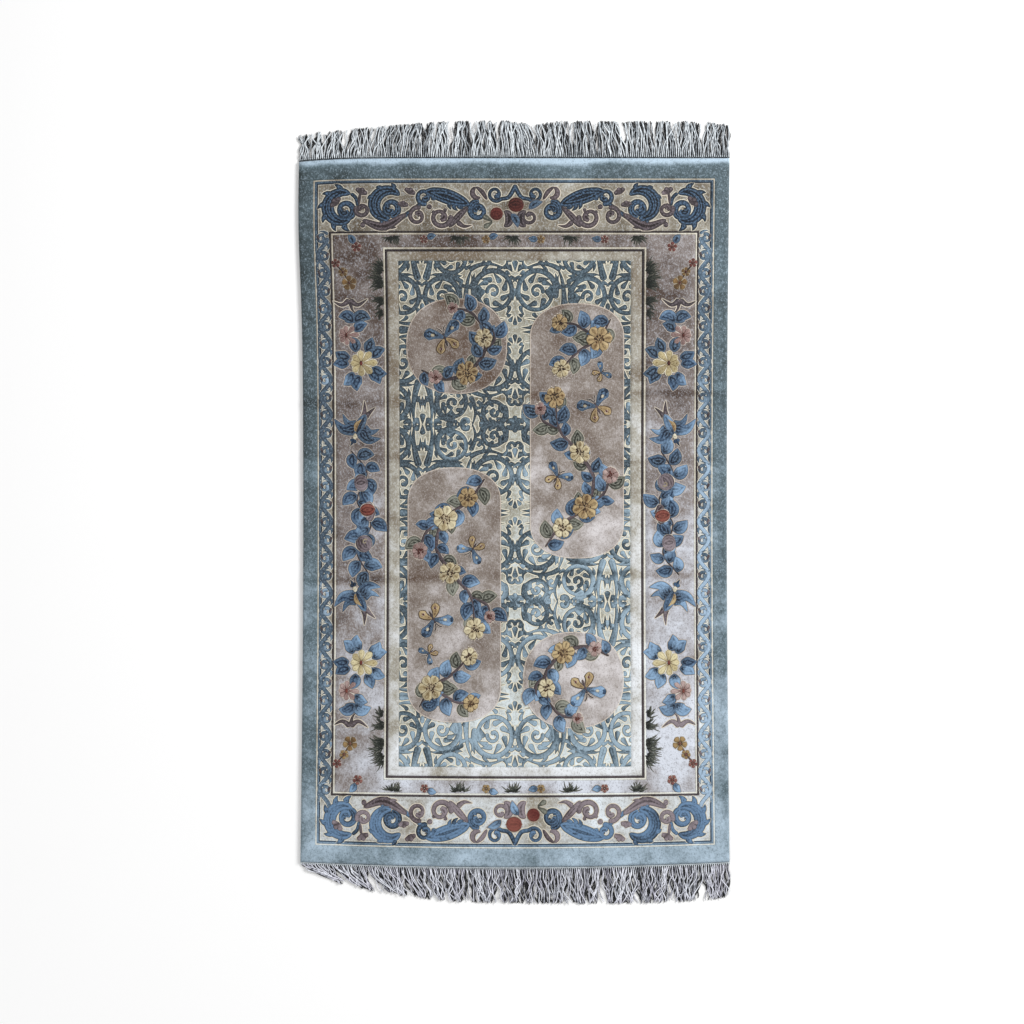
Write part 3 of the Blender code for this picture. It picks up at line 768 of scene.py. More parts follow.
def motif_piece(name, keep=None):
    """One mesh of all the strokes added since the last: each rises from its pale line to its rounded top,
    one side of it and its tip lit more than the other, and carries its dye's colours."""
    places, heights, stroke_lights_and_tones, shapes, faces, dyes, total = [], [], [], [], [], [], 0
    for dye, kind, width, points, ground, line in knotted:
        grid, *shape = stroke_grid(kind, width, points, line)
        edge, along = shape[:2]
        quads = grid_faces(*edge.shape)
        if keep is not None:
            quads = quads[keep(grid.reshape(-1, 2))[quads].any(axis=1)]
        rise = np.where(edge > 1, RIM_RISE + (1 - RIM_RISE) * (edge - 1), RIM_RISE * edge)
        side = tones.choice((-1.0, 1.0)) * np.array([1.0, 1.0, 0.0, -1.0, -1.0])
        # Painted light on one side and on the tip, over a random tone for the whole stroke.
        painted_light_and_tone = tones.uniform(-STROKE_TONE, STROKE_TONE) + SIDE_LIT * side + TIP_LIT * (along - 0.5)
        places.append(grid.reshape(-1, 2))
        heights.append((ground + MOTIF_LIFT * rise).ravel())
        stroke_lights_and_tones.append(painted_light_and_tone.ravel())
        shapes.append(np.stack([values.ravel() for values in shape]))
        faces.append(quads + total)
        dyes.append(np.full(edge.size, DYE_ORDER.index(dye)))
        total += edge.size
    knotted.clear()
    x, y = (np.vstack(places) * SQUARE + (0, PATTERN_MIDDLE)).T
    if keep is not None:
        x = np.clip(x, -FIELD[0] + DIP, FIELD[0] - DIP)
        y = np.clip(y, FIELD[2] - FIELD[1] + DIP, FIELD[2] + FIELD[1] - DIP)
    z, painted_light_and_tone, dyes = np.concatenate(heights), np.concatenate(stroke_lights_and_tones) + painted_light_at(x, y), np.concatenate(dyes)
    shapes = dict(zip(("edge", "along", "depth", "run"), np.hstack(shapes)))
    habits = np.array([look[len(DYE_COLOURS) :] for look in MOTIF_DYES.values()])[dyes]
    shapes.update(zip(DYE_HABITS, habits.T))
    piece = rug_piece(name, x, y, z, np.vstack(faces), motif_silk, "silk_pile", painted_light_and_tone, **shapes)
    for column, key in enumerate(DYE_COLOURS):
        colours = np.array([linear(*look[column]) for look in MOTIF_DYES.values()])[dyes]
        piece.data.attributes.new(key, "FLOAT_COLOR", "POINT").data.foreach_set("color", colours.ravel())


# The four panels: a roundel and a long panel at the head, and the same two turned about at the foot. Each is
# a ground of taupe pile with the carver's V and a thin pale line round it, standing over the scrolls. A
# panel is its middle, half width, half length and the depth of its round ends, which are superellipses.
PANELS = (
    (-0.1255, 0.3550, 0.1085, 0.1020, 0.1020),
    (0.1335, 0.1745, 0.1015, 0.2720, 0.0750),
    (-0.1310, -0.1740, 0.1010, 0.2710, 0.0750),
    (0.1255, -0.3550, 0.1085, 0.1020, 0.1020),
)
SQUARENESS = 2.3
PANEL_TOP = 0.0088
END_STEPS = 26
STRAIGHT_STEPS = 74
ACROSS_STEPS = 41
# The pale line's rows, as how far in from the panel's outline and how high.
RIM_ROWS = (
    (0.0026, PANEL_TOP - 0.0002), (0.0016, PANEL_TOP + 0.0002), (0.0004, PANEL_TOP + 0.0001),
    (-0.0006, DIP_LEVEL),
)


def panel_reach(x, y, panel):
    """How far out of a panel's middle a place is: 1 on its outline, less inside it."""
    middle_x, middle_y, half_width, half_length, end_depth = panel
    beyond = np.maximum(0, np.abs(y - middle_y - PATTERN_MIDDLE) - (half_length - end_depth)) / end_depth
    return (np.abs((x - middle_x) / half_width) ** SQUARENESS + beyond**SQUARENESS) ** (1 / SQUARENESS)


def panel_grid(panel):
    """Rows up a panel, closer together towards its round ends."""
    middle_x, middle_y, half_width, half_length, end_depth = panel
    straight = half_length - end_depth
    bend = np.sin(np.linspace(0, math.pi / 2, END_STEPS))
    rise = np.concatenate([-straight - end_depth * bend[::-1], straight + end_depth * bend])
    if straight > 0:
        rise = np.sort(np.concatenate([rise, np.linspace(-straight, straight, STRAIGHT_STEPS)[1:-1]]))
    beyond = np.clip((np.abs(rise) - straight) / end_depth, 0, 1)
    half = half_width * np.clip(1 - beyond**SQUARENESS, 0, 1) ** (1 / SQUARENESS)
    x = middle_x + half[:, None] * np.linspace(-1, 1, ACROSS_STEPS)
    y = middle_y + PATTERN_MIDDLE + rise[:, None] + 0 * x
    return x, y, np.full(x.shape, PANEL_TOP)


def rim_grid(x, y):
    """Rows that follow a panel's outline, each a little farther out along its normal, from the inside
    outwards."""
    line_x = np.concatenate([x[:, -1], x[::-1, 0]])
    line_y = np.concatenate([y[:, -1], y[::-1, 0]])
    ahead_x, ahead_y = (np.roll(line, -1) - np.roll(line, 1) for line in (line_x, line_y))
    size = np.hypot(ahead_x, ahead_y)
    inset, height = np.array(RIM_ROWS[::-1]).T[..., None]
    return line_x - inset * (ahead_y / size), line_y + inset * (ahead_x / size), height + 0 * line_x


panel_taupe = pile_silk("panel_silk", (134, 125, 118), (84, 67, 55), (208, 204, 205), 0.7, 1.2, 0.9)
panel_line = pile_silk("panel_line_silk", (190, 178, 166), (144, 130, 116), (222, 218, 210), 0.6)
panel_grids = [panel_grid(panel) for panel in PANELS]
pile_piece("panel_grounds", panel_grids, panel_taupe, closed=False)
pile_piece("panel_lines", [rim_grid(x, y) for x, y, z in panel_grids], panel_line)


# The scroll ground between the panels: slate blue stems that coil into spirals with lobes, laid out in one
# cell that is mirrored from axis to axis across the field and cut off square at its edges.
CELL_WIDTH = 93.5
HEAD_AXIS = 183.0
HEAD_STRETCH = 1.07
FIELD_REACH = (118, 254)
SCROLL_FULLNESS = 1.14
PANEL_CLEARANCE = 0.985
# The large scrolls: middle, reach, the angle that they start at and the way they turn.
SCROLLS = (
    (21.5, 36.0, 20.5, -20, 1), (63.5, 68.0, 16.5, 100, -1), (74.0, 31.0, 18.5, 205, -1),
    (21.5, 77.5, 12.5, 215, -1),
)
SCROLL_HORNS = (
    (3.6, (47.5, 6), (49.5, 26), (47.5, 46), (41, 62)), (3.4, (90, 46), (86, 60), (84, 76), (86, 93)),
    (2.4, (46, 56), (36, 60.5), (24, 61.5), (5, 56)), (2.2, (52, 28), (45, 15), (32, 9), (10, 11)),
    (2.3, (52, 44), (62, 49), (76, 52), (90, 50)), (2.4, (45, 62), (40, 76), (44, 92)),
    (2.2, (92, 9), (84, 6), (72, 6.5), (56, 12)), (2.0, (50, 40), (55, 43), (57, 48)),
    (2.0, (46, 38), (43, 45), (44, 52)), (1.9, (34, 60), (31, 65), (33, 70)),
    (1.9, (84, 68), (81, 77), (82, 84)),
    (1.9, (88, 62), (91, 68), (91, 76)), (1.8, (28, 9), (22, 5), (14, 4)), (1.8, (70, 6.5), (64, 3), (56, 3)),
    (1.8, (41, 76), (36, 80), (35, 86)), (1.9, (12, 57), (8, 62), (9, 68)),
)
SCROLL_CURLS = (
    (1.8, 50, 86, 5.0, 1.5, 100, -330), (1.8, 54, 9, 5.5, 1.5, 200, 340), (1.8, 78, 87, 4.5, 1.5, 150, -300),
    (1.8, 4.5, 87, 5.0, 1.5, 30, 320), (1.7, 37, 70, 4.0, 1.2, 10, 320), (1.7, 4, 67, 4.2, 1.2, 200, -320),
    (1.7, 38, 11, 4.2, 1.2, 120, -320), (1.7, 33, 89, 4.0, 1.2, 60, 320),
)
SCROLL_BEADS = (
    ("oval", 1.9, ((64, 89), (70, 89))), ("oval", 1.9, ((46.7, 0), (46.7, 3))),
    ("oval", 2.1, ((93.5, 18), (93.5, 25))),
    ("drop", 2.2, ((6, 2), (24, 2))), ("drop", 2.2, ((88, 1.5), (70, 1.5))),
)
SCROLL_PALMETTES = (
    (0, 50, 15, 5, 90), (0, 16, 12, 5, -90), (93.5, 58, 13, 3, 90), (60, 94, 10, 3, -90), (20, 95, 7, 3, -90),
    (0, 30, 9, 3, 90), (93.5, 93, 15, 5, -90), (0, 93, 13, 3, -90),
)
scroll_cell = [("horn", width, tuple(points)) for width, *points in SCROLL_HORNS] + list(SCROLL_BEADS)
scroll_cell += [("curl", width, spiral(*coil)) for width, *coil in SCROLL_CURLS]
for fan in SCROLL_PALMETTES:
    scroll_cell += palmette(*fan)
for x, y, reach, start, side in SCROLLS:
    scroll_cell.append(("curl", 2.7, spiral(x, y, reach, reach * 0.78, start, side * 400)))
    scroll_cell.append(("curl", 1.9, spiral(x, y, reach * 0.34, 1.2, start, side * 360)))
    inner = [start + side * turn for turn in range(60, 400, 48 if reach > 15 else 68)]
    outer = [start + side * turn for turn in range(40, 300, 40)]
    scroll_cell += flames(x, y, reach * 0.86, reach * 0.36, inner, side * 44, 0.135 * reach, "drop")
    scroll_cell += flames(x, y, reach, -reach * 0.24, outer, side * 22, 2.3)
field_strokes = set()
for kind, width, points in scroll_cell:
    for middle_x, fold_x in ((0, 1), (2 * CELL_WIDTH, -1)):
        for middle_y, fold_y in ((0, 1), (HEAD_AXIS, -HEAD_STRETCH), (HEAD_AXIS, HEAD_STRETCH)):
            placed = [(middle_x + fold_x * x, middle_y + fold_y * y) for x, y in points]
            if min(x for x, y in placed) > FIELD_REACH[0] or min(y for x, y in placed) > FIELD_REACH[1]:
                continue
            for side, end in ((-1, -1), (-1, 1), (1, -1), (1, 1)):
                folded = tuple((round(side * x, 2) + 0.0, round(end * y, 2) + 0.0) for x, y in placed)
                field_strokes.add((kind, width * SCROLL_FULLNESS, folded))
knot_motifs("slate", sorted(field_strokes), ground=FIELD_TOP)


def in_open_field(place):
    """Which planned places, in squares, lie in the field and clear of every panel."""
    x, y = place[:, 0] * SQUARE, place[:, 1] * SQUARE + PATTERN_MIDDLE
    inside = (np.abs(x) < FIELD[0]) & (np.abs(y - FIELD[2]) < FIELD[1])
    for panel in PANELS:
        inside &= panel_reach(x, y, panel) > PANEL_CLEARANCE
    return inside


motif_piece("field_scrolls", keep=in_open_field)


# The main border's ends: a blue acanthus in each corner, mauve curls and blue spirals towards the middle,
# and a pomegranate and a peach at the centre. The head's left half is drawn; it is mirrored, and the foot is
# the head turned about.
def petals(x, y, reaches, width, turn=0.0, start=0.16, spread=2 * math.pi):
    """Petals out from a flower's middle, as far as each given reach, evenly round it or over part of it."""
    turns = [turn + spread * number / len(reaches) for number in range(len(reaches))]
    rows = [round_about(x, y, (out * start, out * 0.6, out), (angle,) * 3)
            for out, angle in zip(reaches, turns)]
    return [("petal", width, row) for row in rows]


MAIN_BLUE = [
    ("swell", 6.4, spiral(-171, 306, 15.5, 14.0, 60, 245)),
    ("curl", 3.6, spiral(-169, 303.5, 9.5, 1.5, -70, 430)),
    ("stem", 1.9, ((-163, 320), (-158, 315), (-156, 307))),
    ("swell", 6.4, spiral(-126, 308, 15.0, 13.5, 40, 240)),
    ("curl", 3.8, spiral(-124, 305, 9.0, 1.5, -90, 430)),
    ("stem", 2.3, ((-137, 296), (-121, 291), (-106, 300), (-94, 309))),
    ("curl", 2.8, spiral(-90.5, 316.5, 8.0, 1.5, -70, -440)),
    ("swell", 7.6, ((-90, 322), (-70, 317), (-45, 308))),
    ("curl", 3.5, spiral(-36.5, 302, 10.0, 1.5, 85, 500)),
    ("curl", 2.4, ((1, 328), (-6, 316)) + spiral(-19.5, 319, 8.0, 1.5, -40, -450)),
]
MAIN_BLUE += flames(-171, 306, 17, -8, (96, 132, 168, 204, 240, 272), 14, 4.2)
MAIN_BLUE += flames(-126, 308, 17, -5, (70, 112, 150, 246), 14, 3.8)
MAIN_BLUE += flames(-72, 306, 10, -9, (55, 84, 112, 140), -22, 3.8)
MAIN_BLUE += flames(-58, 318, 10, -6, (225, 250, 276), 24, 3.2)
MAIN_BLUE += flames(-36.5, 302, 8, 5, (150, 220, 300), 24, 2.6)
MAIN_MAUVE = [
    ("stem", 1.4, ((-154, 319), (-155.5, 309))), ("curl", 2.6, spiral(-151.5, 303.5, 7.5, 1.5, 150, 430)),
    ("swell", 4.4, ((-152, 293), (-131, 286.5), (-108, 299))), ("oval", 3.0, ((-154, 288.5), (-149, 288))),
    ("curl", 2.6, spiral(-97, 296.5, 9.5, 1.5, 70, 440)),
    ("curl", 2.9, spiral(-74.5, 296, 11.0, 1.5, 10, -470)),
    ("swell", 3.4, ((-47, 306), (-57, 296), (-66, 285.5))),
    ("horn", 3.0, ((-58, 291), (-51, 286.5), (-43, 287.5))),
    ("swell", 2.8, spiral(-37, 320, 6.0, 5.0, 110, 190)), ("swell", 2.2, ((-39, 326), (-33, 321), (-28, 313))),
    ("swell", 4.4, spiral(-14, 294, 8.5, 8.5, 70, -140)), ("oval", 2.6, ((-88, 307), (-83, 305))),
]
MAIN_MAUVE += flames(-131, 308, 21, -5, (240, 262, 284), 16, 2.8)
MAIN_MAUVE += flames(-74.5, 296, 10, 5, (60, 150, 230), -26, 2.4)
MAUVE_BUDS = ((-154, 319, 7.5, 1.0), (-106, 319, 7.0, 1.0), (-112, 306, 6.5, 1.3), (-176, 309, 8, 2.2))
for x, y, reach, lean in MAUVE_BUDS:
    MAIN_MAUVE += petals(x, y, (reach,) * 3, 2.8, lean - 0.75, 0.05, 2.6)
FRUITS = [("oval", 6.4, ((-25, 299), (-12, 299))), ("oval", 7.2, ((-7, 308), (9, 308)))]
FRUIT_LEAVES = [
    ("leaf", 4.0, ((-4, 299), (1, 293), (3, 285))), ("leaf", 3.8, ((14, 304), (20, 309), (28, 311))),
]
knot_motifs("blue", MAIN_BLUE, 0, ALL_CORNERS)
knot_motifs("mauve", MAIN_MAUVE, 1, ALL_CORNERS)
knot_motifs("mauve", [("curl", 2.2, spiral(15, 296, 8, 1.5, 150, 400))], 1, BOTH_ENDS)
knot_motifs("dark_red", FRUITS, 2, BOTH_ENDS)
knot_motifs("olive", petals(-22, 291, (12, 11), 3.0, 2.6, 0.1, 2.2), 1, BOTH_ENDS)
knot_motifs("leaf_blue", FRUIT_LEAVES, 2, BOTH_ENDS)
motif_piece("main_border_motifs")


# The main border's sides: a running vine in steel blue between the blue stripe and the brown one. Its stem
# is a wave, with a curl in every bend and small mauve buds, one repeat every 76 mm.
VINE_X = -191.2
VINE_HEAD = 276.0
VINE_REPEAT = 35.6
VINE_TURNS = 16
VINE_STEPS = 8
VINE_SWING = 5.0
VINE_LINE = 0.6
run = np.linspace(0, VINE_TURNS, VINE_TURNS * VINE_STEPS + 1)
stem = tuple(zip(VINE_X + VINE_SWING * np.cos(2 * math.pi * run), VINE_HEAD - VINE_REPEAT * run))
knot_motifs("vine_blue", [("stem", 2.1, stem)], 0, BOTH_SIDES, VINE_LINE)
for turn in range(2 * VINE_TURNS):
    side = -1 if turn % 2 else 1
    y = VINE_HEAD - VINE_REPEAT * turn / 2
    blue = [
        ("curl", 1.9, spiral(VINE_X - side * 0.8, y - 1.5, 4.8, 1.0, 90 - side * 35, side * 400)),
        ("horn", 1.9, (
            (VINE_X + side * 5.4, y + 3), (VINE_X + side * 1.5, y + 6), (VINE_X - side * 3.5, y + 6.5),
        )),
        ("horn", 1.9, (
            (VINE_X + side * 4.6, y - 6), (VINE_X + side * 5.8, y - 9), (VINE_X + side * 4.5, y - 13),
        )),
    ]
    bud = ((VINE_X - side * 5.2, y + 2.5), (VINE_X - side * 4, y - 1), (VINE_X - side * 4.6, y - 4))
    knot_motifs("vine_blue", blue, 0, BOTH_SIDES, VINE_LINE)
    knot_motifs("mauve", [("horn", 1.7, bud)], 1, BOTH_SIDES, VINE_LINE)
motif_piece("vine_motifs")


# The taupe band: plum sprigs, a chrysanthemum, a daisy and a swallow at each quarter, pine tufts at the
# corners, and a branch of peach and pomegranate at the middle of each side. The quarters mirror each other.
def leaf_ring(x, y, near, leaf, angles):
    """Leaves that stand out all round a flower, each from near it, at the given angles in degrees."""
    strokes = []
    for angle in np.radians(angles):
        bend = 0.22 * math.sin(5 * angle)
        turns = (angle, angle + bend, angle + bend * 0.5)
        strokes.append(("leaf", 0.36 * leaf, round_about(x, y, (near, near + leaf * 0.5, near + leaf), turns)))
    return strokes


def sprig_leaves(stem, every, leaf, seed):
    """Leaves set alternately along a stem, each leaning out from it and on towards its tip."""
    curve, run = curve_through(stem)
    chance = np.random.default_rng(seed)
    leaves = []
    for number, stop in enumerate(np.arange(every / 2, run[-1] - 1, every)):
        stops = (stop - 1, stop, stop + 1)
        (back_x, x, front_x), (back_y, y, front_y) = (np.interp(stops, run, curve[:, axis]) for axis in (0, 1))
        side = 1 if number % 2 else -1
        angle = math.atan2(front_y - back_y, front_x - back_x) + side * chance.uniform(0.65, 1.15)
        size = leaf * chance.uniform(0.85, 1.15)
        tips = round_about(x, y, (0.5 * size, size), (angle + side * 0.18, angle - side * 0.08))
        leaves.append(("leaf", 0.36 * size, ((x, y), *tips)))
    return leaves


def turned_about(x, y, size, turn, places):
    """Places planned about nought at size 1, scaled, turned and moved to (x, y)."""
    cos, sin = size * math.cos(turn), size * math.sin(turn)
    return tuple((x + u * cos - v * sin, y + u * sin + v * cos) for u, v in places)


def placed_parts(parts, x, y, size, turn):
    """A small picture's parts, planned about nought at size 1, as strokes by dye, scaled, turned and moved."""
    strokes = []
    for dye, kind, width, *places in parts:
        strokes.append((dye, (kind, width * size, turned_about(x, y, size, turn, places))))
    return strokes


def swallow(x, y, size, turn):
    """A swallow on the wing, as strokes by dye, in the order that they lie over each other."""
    parts = (
        ("mauve", "horn", 0.09, (0.03, -0.30), (0.08, -0.52), (0.22, -0.78)),
        ("mauve", "horn", 0.09, (-0.03, -0.30), (-0.08, -0.50), (-0.18, -0.74)),
        ("leaf_blue", "horn", 0.17, (0.06, -0.02), (0.38, 0.06), (0.66, -0.14)),
        ("leaf_blue", "horn", 0.17, (-0.06, -0.02), (-0.36, 0.02), (-0.58, -0.20)),
        ("leaf_blue", "horn", 0.25, (0.06, 0.06), (0.42, 0.28), (0.82, 0.12)),
        ("leaf_blue", "horn", 0.25, (-0.06, 0.06), (-0.40, 0.24), (-0.74, 0.04)),
        ("leaf_blue", "swell", 0.15, (0.00, 0.32), (0.02, 0.00), (0.00, -0.42)),
        ("gold", "leaf", 0.10, (0.05, 0.22), (0.09, 0.00), (0.04, -0.26)),
        ("ivory", "oval", 0.10, (-0.05, 0.32), (0.07, 0.34)),
        ("navy", "oval", 0.11, (0.00, 0.40), (0.00, 0.54)),
        ("navy", "horn", 0.05, (0.00, 0.50), (0.01, 0.58), (0.02, 0.66)),
    )
    return placed_parts(parts, x, y, size, turn)


SIDE_STEM = ((-166, 62), (-150, 40), (-160, 12), (-146, -12), (-160, -38), (-148, -62))
SIDE_FRUITS = [("oval", 8.4, ((-163, 29), (-149, 31))), ("oval", 8.2, ((-158, -24), (-148, -38)))]
DAISY = (-155.5, 149.7)
DAISY_LEAVES = (24, 68, 116, 152, 186, 226, 268, 306, 344)
DAISY_PETALS = (16.5, 15, 12.5, 11, 10.5, 11.5, 13, 15)
PINK_FLOWER = (-170, 177.7)
PINK_PETALS = (13, 11.5, 9.5, 8.5, 8, 9, 10, 12)
LEAF_PAIR = [
    ("leaf", 6.4, ((-162, 190), (-169, 197), (-178, 196))),
    ("leaf", 6.4, ((-162, 190), (-155, 197), (-145, 194))),
]
MAUVE_BOW = [
    ("horn", 3.0, ((-166, 213), (-158, 208), (-148, 214))),
    ("horn", 3.0, ((-166, 213), (-174, 208), (-183, 212))),
    ("horn", 2.2, ((-166, 213), (-164, 204), (-160, 199))),
]
BLOSSOMS = (
    ("plum", -158, 266, 5.0), ("plum", -179, 250, 4.6), ("ochre", -172, 241, 4.6), ("ochre", -166, 230, 7.4),
)
FLOWER_LINE = 0.8
SPRIG_LINE = 0.6
STEM_LINE = 0.5
SEED_LINE = 0.3
knot_motifs("branch", [("stem", 0.8, SIDE_STEM)], 0, BOTH_ENDS, STEM_LINE)
knot_motifs("leaf_blue", sprig_leaves(SIDE_STEM, 6.2, 17.5, 3), 1, BOTH_ENDS)
knot_motifs("mauve", SIDE_FRUITS, 3, BOTH_ENDS)
knot_motifs("mauve", petals(-141, 2, (13, 15, 13), 4.4, 2.5, 0.1, 2.2), 3, BOTH_ENDS)
knot_motifs("brick", [("oval", 6.2, ((-157, 2), (-142, 4)))], 5, BOTH_ENDS)
knot_motifs("ivory", [("curl", 0.7, spiral(-152, -29, 3.0, 0.8, 40, 330))], 5, BOTH_ENDS, SEED_LINE)
knot_motifs("leaf_blue", leaf_ring(*DAISY, 12, 16.5, DAISY_LEAVES), 0, ALL_CORNERS)
knot_motifs("leaf_blue", leaf_ring(*PINK_FLOWER, 9, 15.5, (22,)), 0, ALL_CORNERS)
knot_motifs("leaf_blue", leaf_ring(-158, 266, 4, 11, (130,)), 0, ALL_CORNERS, SPRIG_LINE)
knot_motifs("branch", [("stem", 0.8, ((-180, 250), (-173, 242), (-168, 234)))], 0, ALL_CORNERS, STEM_LINE)
knot_motifs("leaf_blue", LEAF_PAIR, 0, ALL_CORNERS)
knot_motifs("mauve", MAUVE_BOW, 0, ALL_CORNERS)
knot_motifs("pink", petals(*PINK_FLOWER, PINK_PETALS, 2.7, 0.05), 1, ALL_CORNERS, FLOWER_LINE)
knot_motifs("daisy", petals(*DAISY, DAISY_PETALS, 3.4, 0.03), 2, ALL_CORNERS, FLOWER_LINE)
for dye, x, y, reach in BLOSSOMS:
    knot_motifs(dye, petals(x, y, (reach,) * 5, 0.42 * reach, 0.4), 1, ALL_CORNERS, SPRIG_LINE)
middles = [("oval", 1.5, ((x - 0.8, y), (x + 0.8, y))) for dye, x, y, reach in BLOSSOMS]
middles += [("oval", 2.4, ((x - 1.5, y), (x + 1.5, y))) for x, y in (PINK_FLOWER, DAISY)]
knot_motifs("dark_red", middles, 5, ALL_CORNERS, SEED_LINE)
for level, (dye, stroke) in enumerate(swallow(-157, 86, 33, 2.7)):
    knot_motifs(dye, [stroke], level // 2, ALL_CORNERS, 0.7)

# Pine tufts: a dark heart of crossing needles with greener ones standing out of it. Each is its middle, its
# reach across and along, the longest needle, the way it leans, how far it fans out and how many needles it
# has.
TUFTS = (
    (-133.5, 243, 2.2, 5.0, 15.0, 2.5, 0.9, 17), (-133.5, 230, 2.0, 5.0, 19.0, 3.0, 0.8, 19),
    (-133.5, 212, 2.0, 4.0, 15.0, 3.3, 0.8, 15), (-134, 201, 1.5, 3.0, 11.0, 3.9, 0.6, 9),
)
END_BAND_Y = 273.5
END_TUFTS = tuple((x, END_BAND_Y + 2.2, 4.5, 1.0, 11.0, -1.57, 1.5, 17) for x in (-56, -2, 55, -122, 123))
END_FLOWERS = ((-91, "plum"), (90, "plum"), (-29, "ochre"), (26, "ochre"))
NEEDLE_WIDTH = 0.85
pricking = np.random.default_rng(17)
for tufts, copies in ((TUFTS, ALL_CORNERS), (END_TUFTS, UPENDED)):
    for x, y, reach_x, reach_y, longest, lean, fan, count in tufts:
        for dye, level, part in (("needle", 0, 1.0), ("pine", 1, 0.6)):
            needles = []
            asides, rises, turns = pricking.uniform(-1, 1, (3, count))
            for aside, rise, turn, out in zip(asides, rises, turns, pricking.uniform(0.45, 1.0, count)):
                root_x, root_y = x + reach_x * aside, y + reach_y * rise
                angle, reach = lean + fan * turn, part * longest * out
                tip_x, tip_y = root_x + reach * math.cos(angle), root_y + reach * math.sin(angle)
                middle = ((root_x + tip_x) / 2 + 0.12 * reach * rise, (root_y + tip_y) / 2 + 0.10 * reach)
                needles.append(("horn", NEEDLE_WIDTH, ((root_x, root_y), middle, (tip_x, tip_y))))
            knot_motifs(dye, needles, level, copies, 0.2)
for x, dye in END_FLOWERS:
    knot_motifs(dye, petals(x, END_BAND_Y, (4.2,) * 5, 1.7, 0.3), 2, UPENDED, SPRIG_LINE)
    knot_motifs("leaf_blue", leaf_ring(x, END_BAND_Y, 3, 10, (12 if x < 0 else 168,)), 2, UPENDED, SPRIG_LINE)
motif_piece("side_band_motifs")


# The panels' pictures: plum branches with peonies, buds and leaves, and butterflies between them, a
# composition of this part's own. Places count from the middle of each head panel, and the foot's panels are
# turned about.
LONG_MIDDLE = (62.7, 81.9)
ROUND_MIDDLE = (-58.9, 166.7)
LONG_STEMS = (
    ((-32, -116), (-16, -94), (8, -76), (17, -48), (2, -22), (-18, 2), (-22, 34)),
    ((8, -76), (26, -64), (35, -44)),
    ((34, 112), (22, 92), (2, 80), (-16, 62)), ((22, 92), (-2, 106), (-18, 108)),
    ((-18, 2), (-34, 10), (-38, 22)),
)
ROUND_STEMS = (
    ((-36, -24), (-14, -33), (10, -27), (28, -6), (26, 20)), ((28, -6), (38, 6), (36, 18)),
    ((26, 20), (14, 34), (-4, 38)),
)
# A peony: its dye, its dye in the foot's panel, its middle, reach, petals and turn.
LONG_PEONIES = (
    ("gold", "pale_gold", 8, -76, 13.4, 6, 0.3), ("pale_gold", "gold", -15, -97, 10.4, 6, 0.0),
    ("pale_gold", "pale_gold", 3, -22, 11.4, 6, 0.5), ("pink", "pink", 34, -44, 8.4, 7, 0.9),
    ("gold", "pale_gold", -22, 34, 11.0, 6, 0.2), ("pink", "pink", -37, 22, 6.4, 5, 0.2),
    ("gold", "pale_gold", 22, 92, 13.4, 6, 0.1), ("pale_gold", "pale_gold", -16, 62, 9.4, 6, 0.25),
    ("gold", "gold", -18, 108, 8.6, 6, 0.5),
)
ROUND_PEONIES = (
    ("gold", "gold", 10, -27, 11.8, 6, 0.2), ("pale_gold", "pale_gold", 27, 8, 9.4, 6, 0.1),
    ("pink", "pink", -22, -31, 7.4, 5, 0.1), ("pink", "pink", -4, 38, 5.4, 5, 0.5),
)
# A butterfly: the middle it is placed from, its place, size and turn.
BUTTERFLIES = (
    (LONG_MIDDLE, 20, 24, 21, 0.5), (LONG_MIDDLE, -20, -46, 17, -0.6), (LONG_MIDDLE, 24, 58, 12, -0.9),
    (ROUND_MIDDLE, -12, 8, 22, 0.35),
)
LOBE_LEANS = (-0.30, 0.0, 0.30)
LOBE_LINE = 0.4
ringing = np.random.default_rng(5)


def on_panel(dye, strokes, level, copies, line):
    """Adds strokes to the panels' motifs."""
    knot_motifs(dye, strokes, level, copies, line, PANEL_TOP)


def peony(dye, x, y, reach, count, turn, copies):
    """A peony: broad petals with three-lobed tips, every other one over its neighbours, and a ring of
    seeds."""
    broad = reach * math.sin(math.pi / count)
    whole = []
    for number in range(count):
        angle = turn + 2 * math.pi * number / count
        out = reach * ringing.uniform(0.90, 1.06)
        lobes = petals(x, y, (out,), broad * ringing.uniform(0.74, 0.86), angle, 0.06)
        for tip_x, tip_y in round_about(x, y, (0.84 * out,) * 3, [angle + lean for lean in LOBE_LEANS]):
            lobes.append(("oval", broad * 0.34, ((tip_x - 0.9, tip_y), (tip_x + 0.9, tip_y))))
        whole += lobes
        on_panel(dye, lobes[1:], 3 + 2 * (number % 2), copies, LOBE_LINE)
        on_panel(dye, lobes[:1], 4 + 2 * (number % 2), copies, LOBE_LINE)
    on_panel("rose_line", whole, 2, copies, 1.2)
    out, angle = reach * ringing.uniform(0.10, 0.44, 3 * count), ringing.uniform(0, 2 * math.pi, 3 * count)
    seeds = [("oval", 0.7, ((a - 0.7, b), (a + 0.7, b))) for a, b in round_about(x, y, out, angle)]
    on_panel("dark_red" if dye == "pink" else "seed", seeds, 8, copies, 0.2)


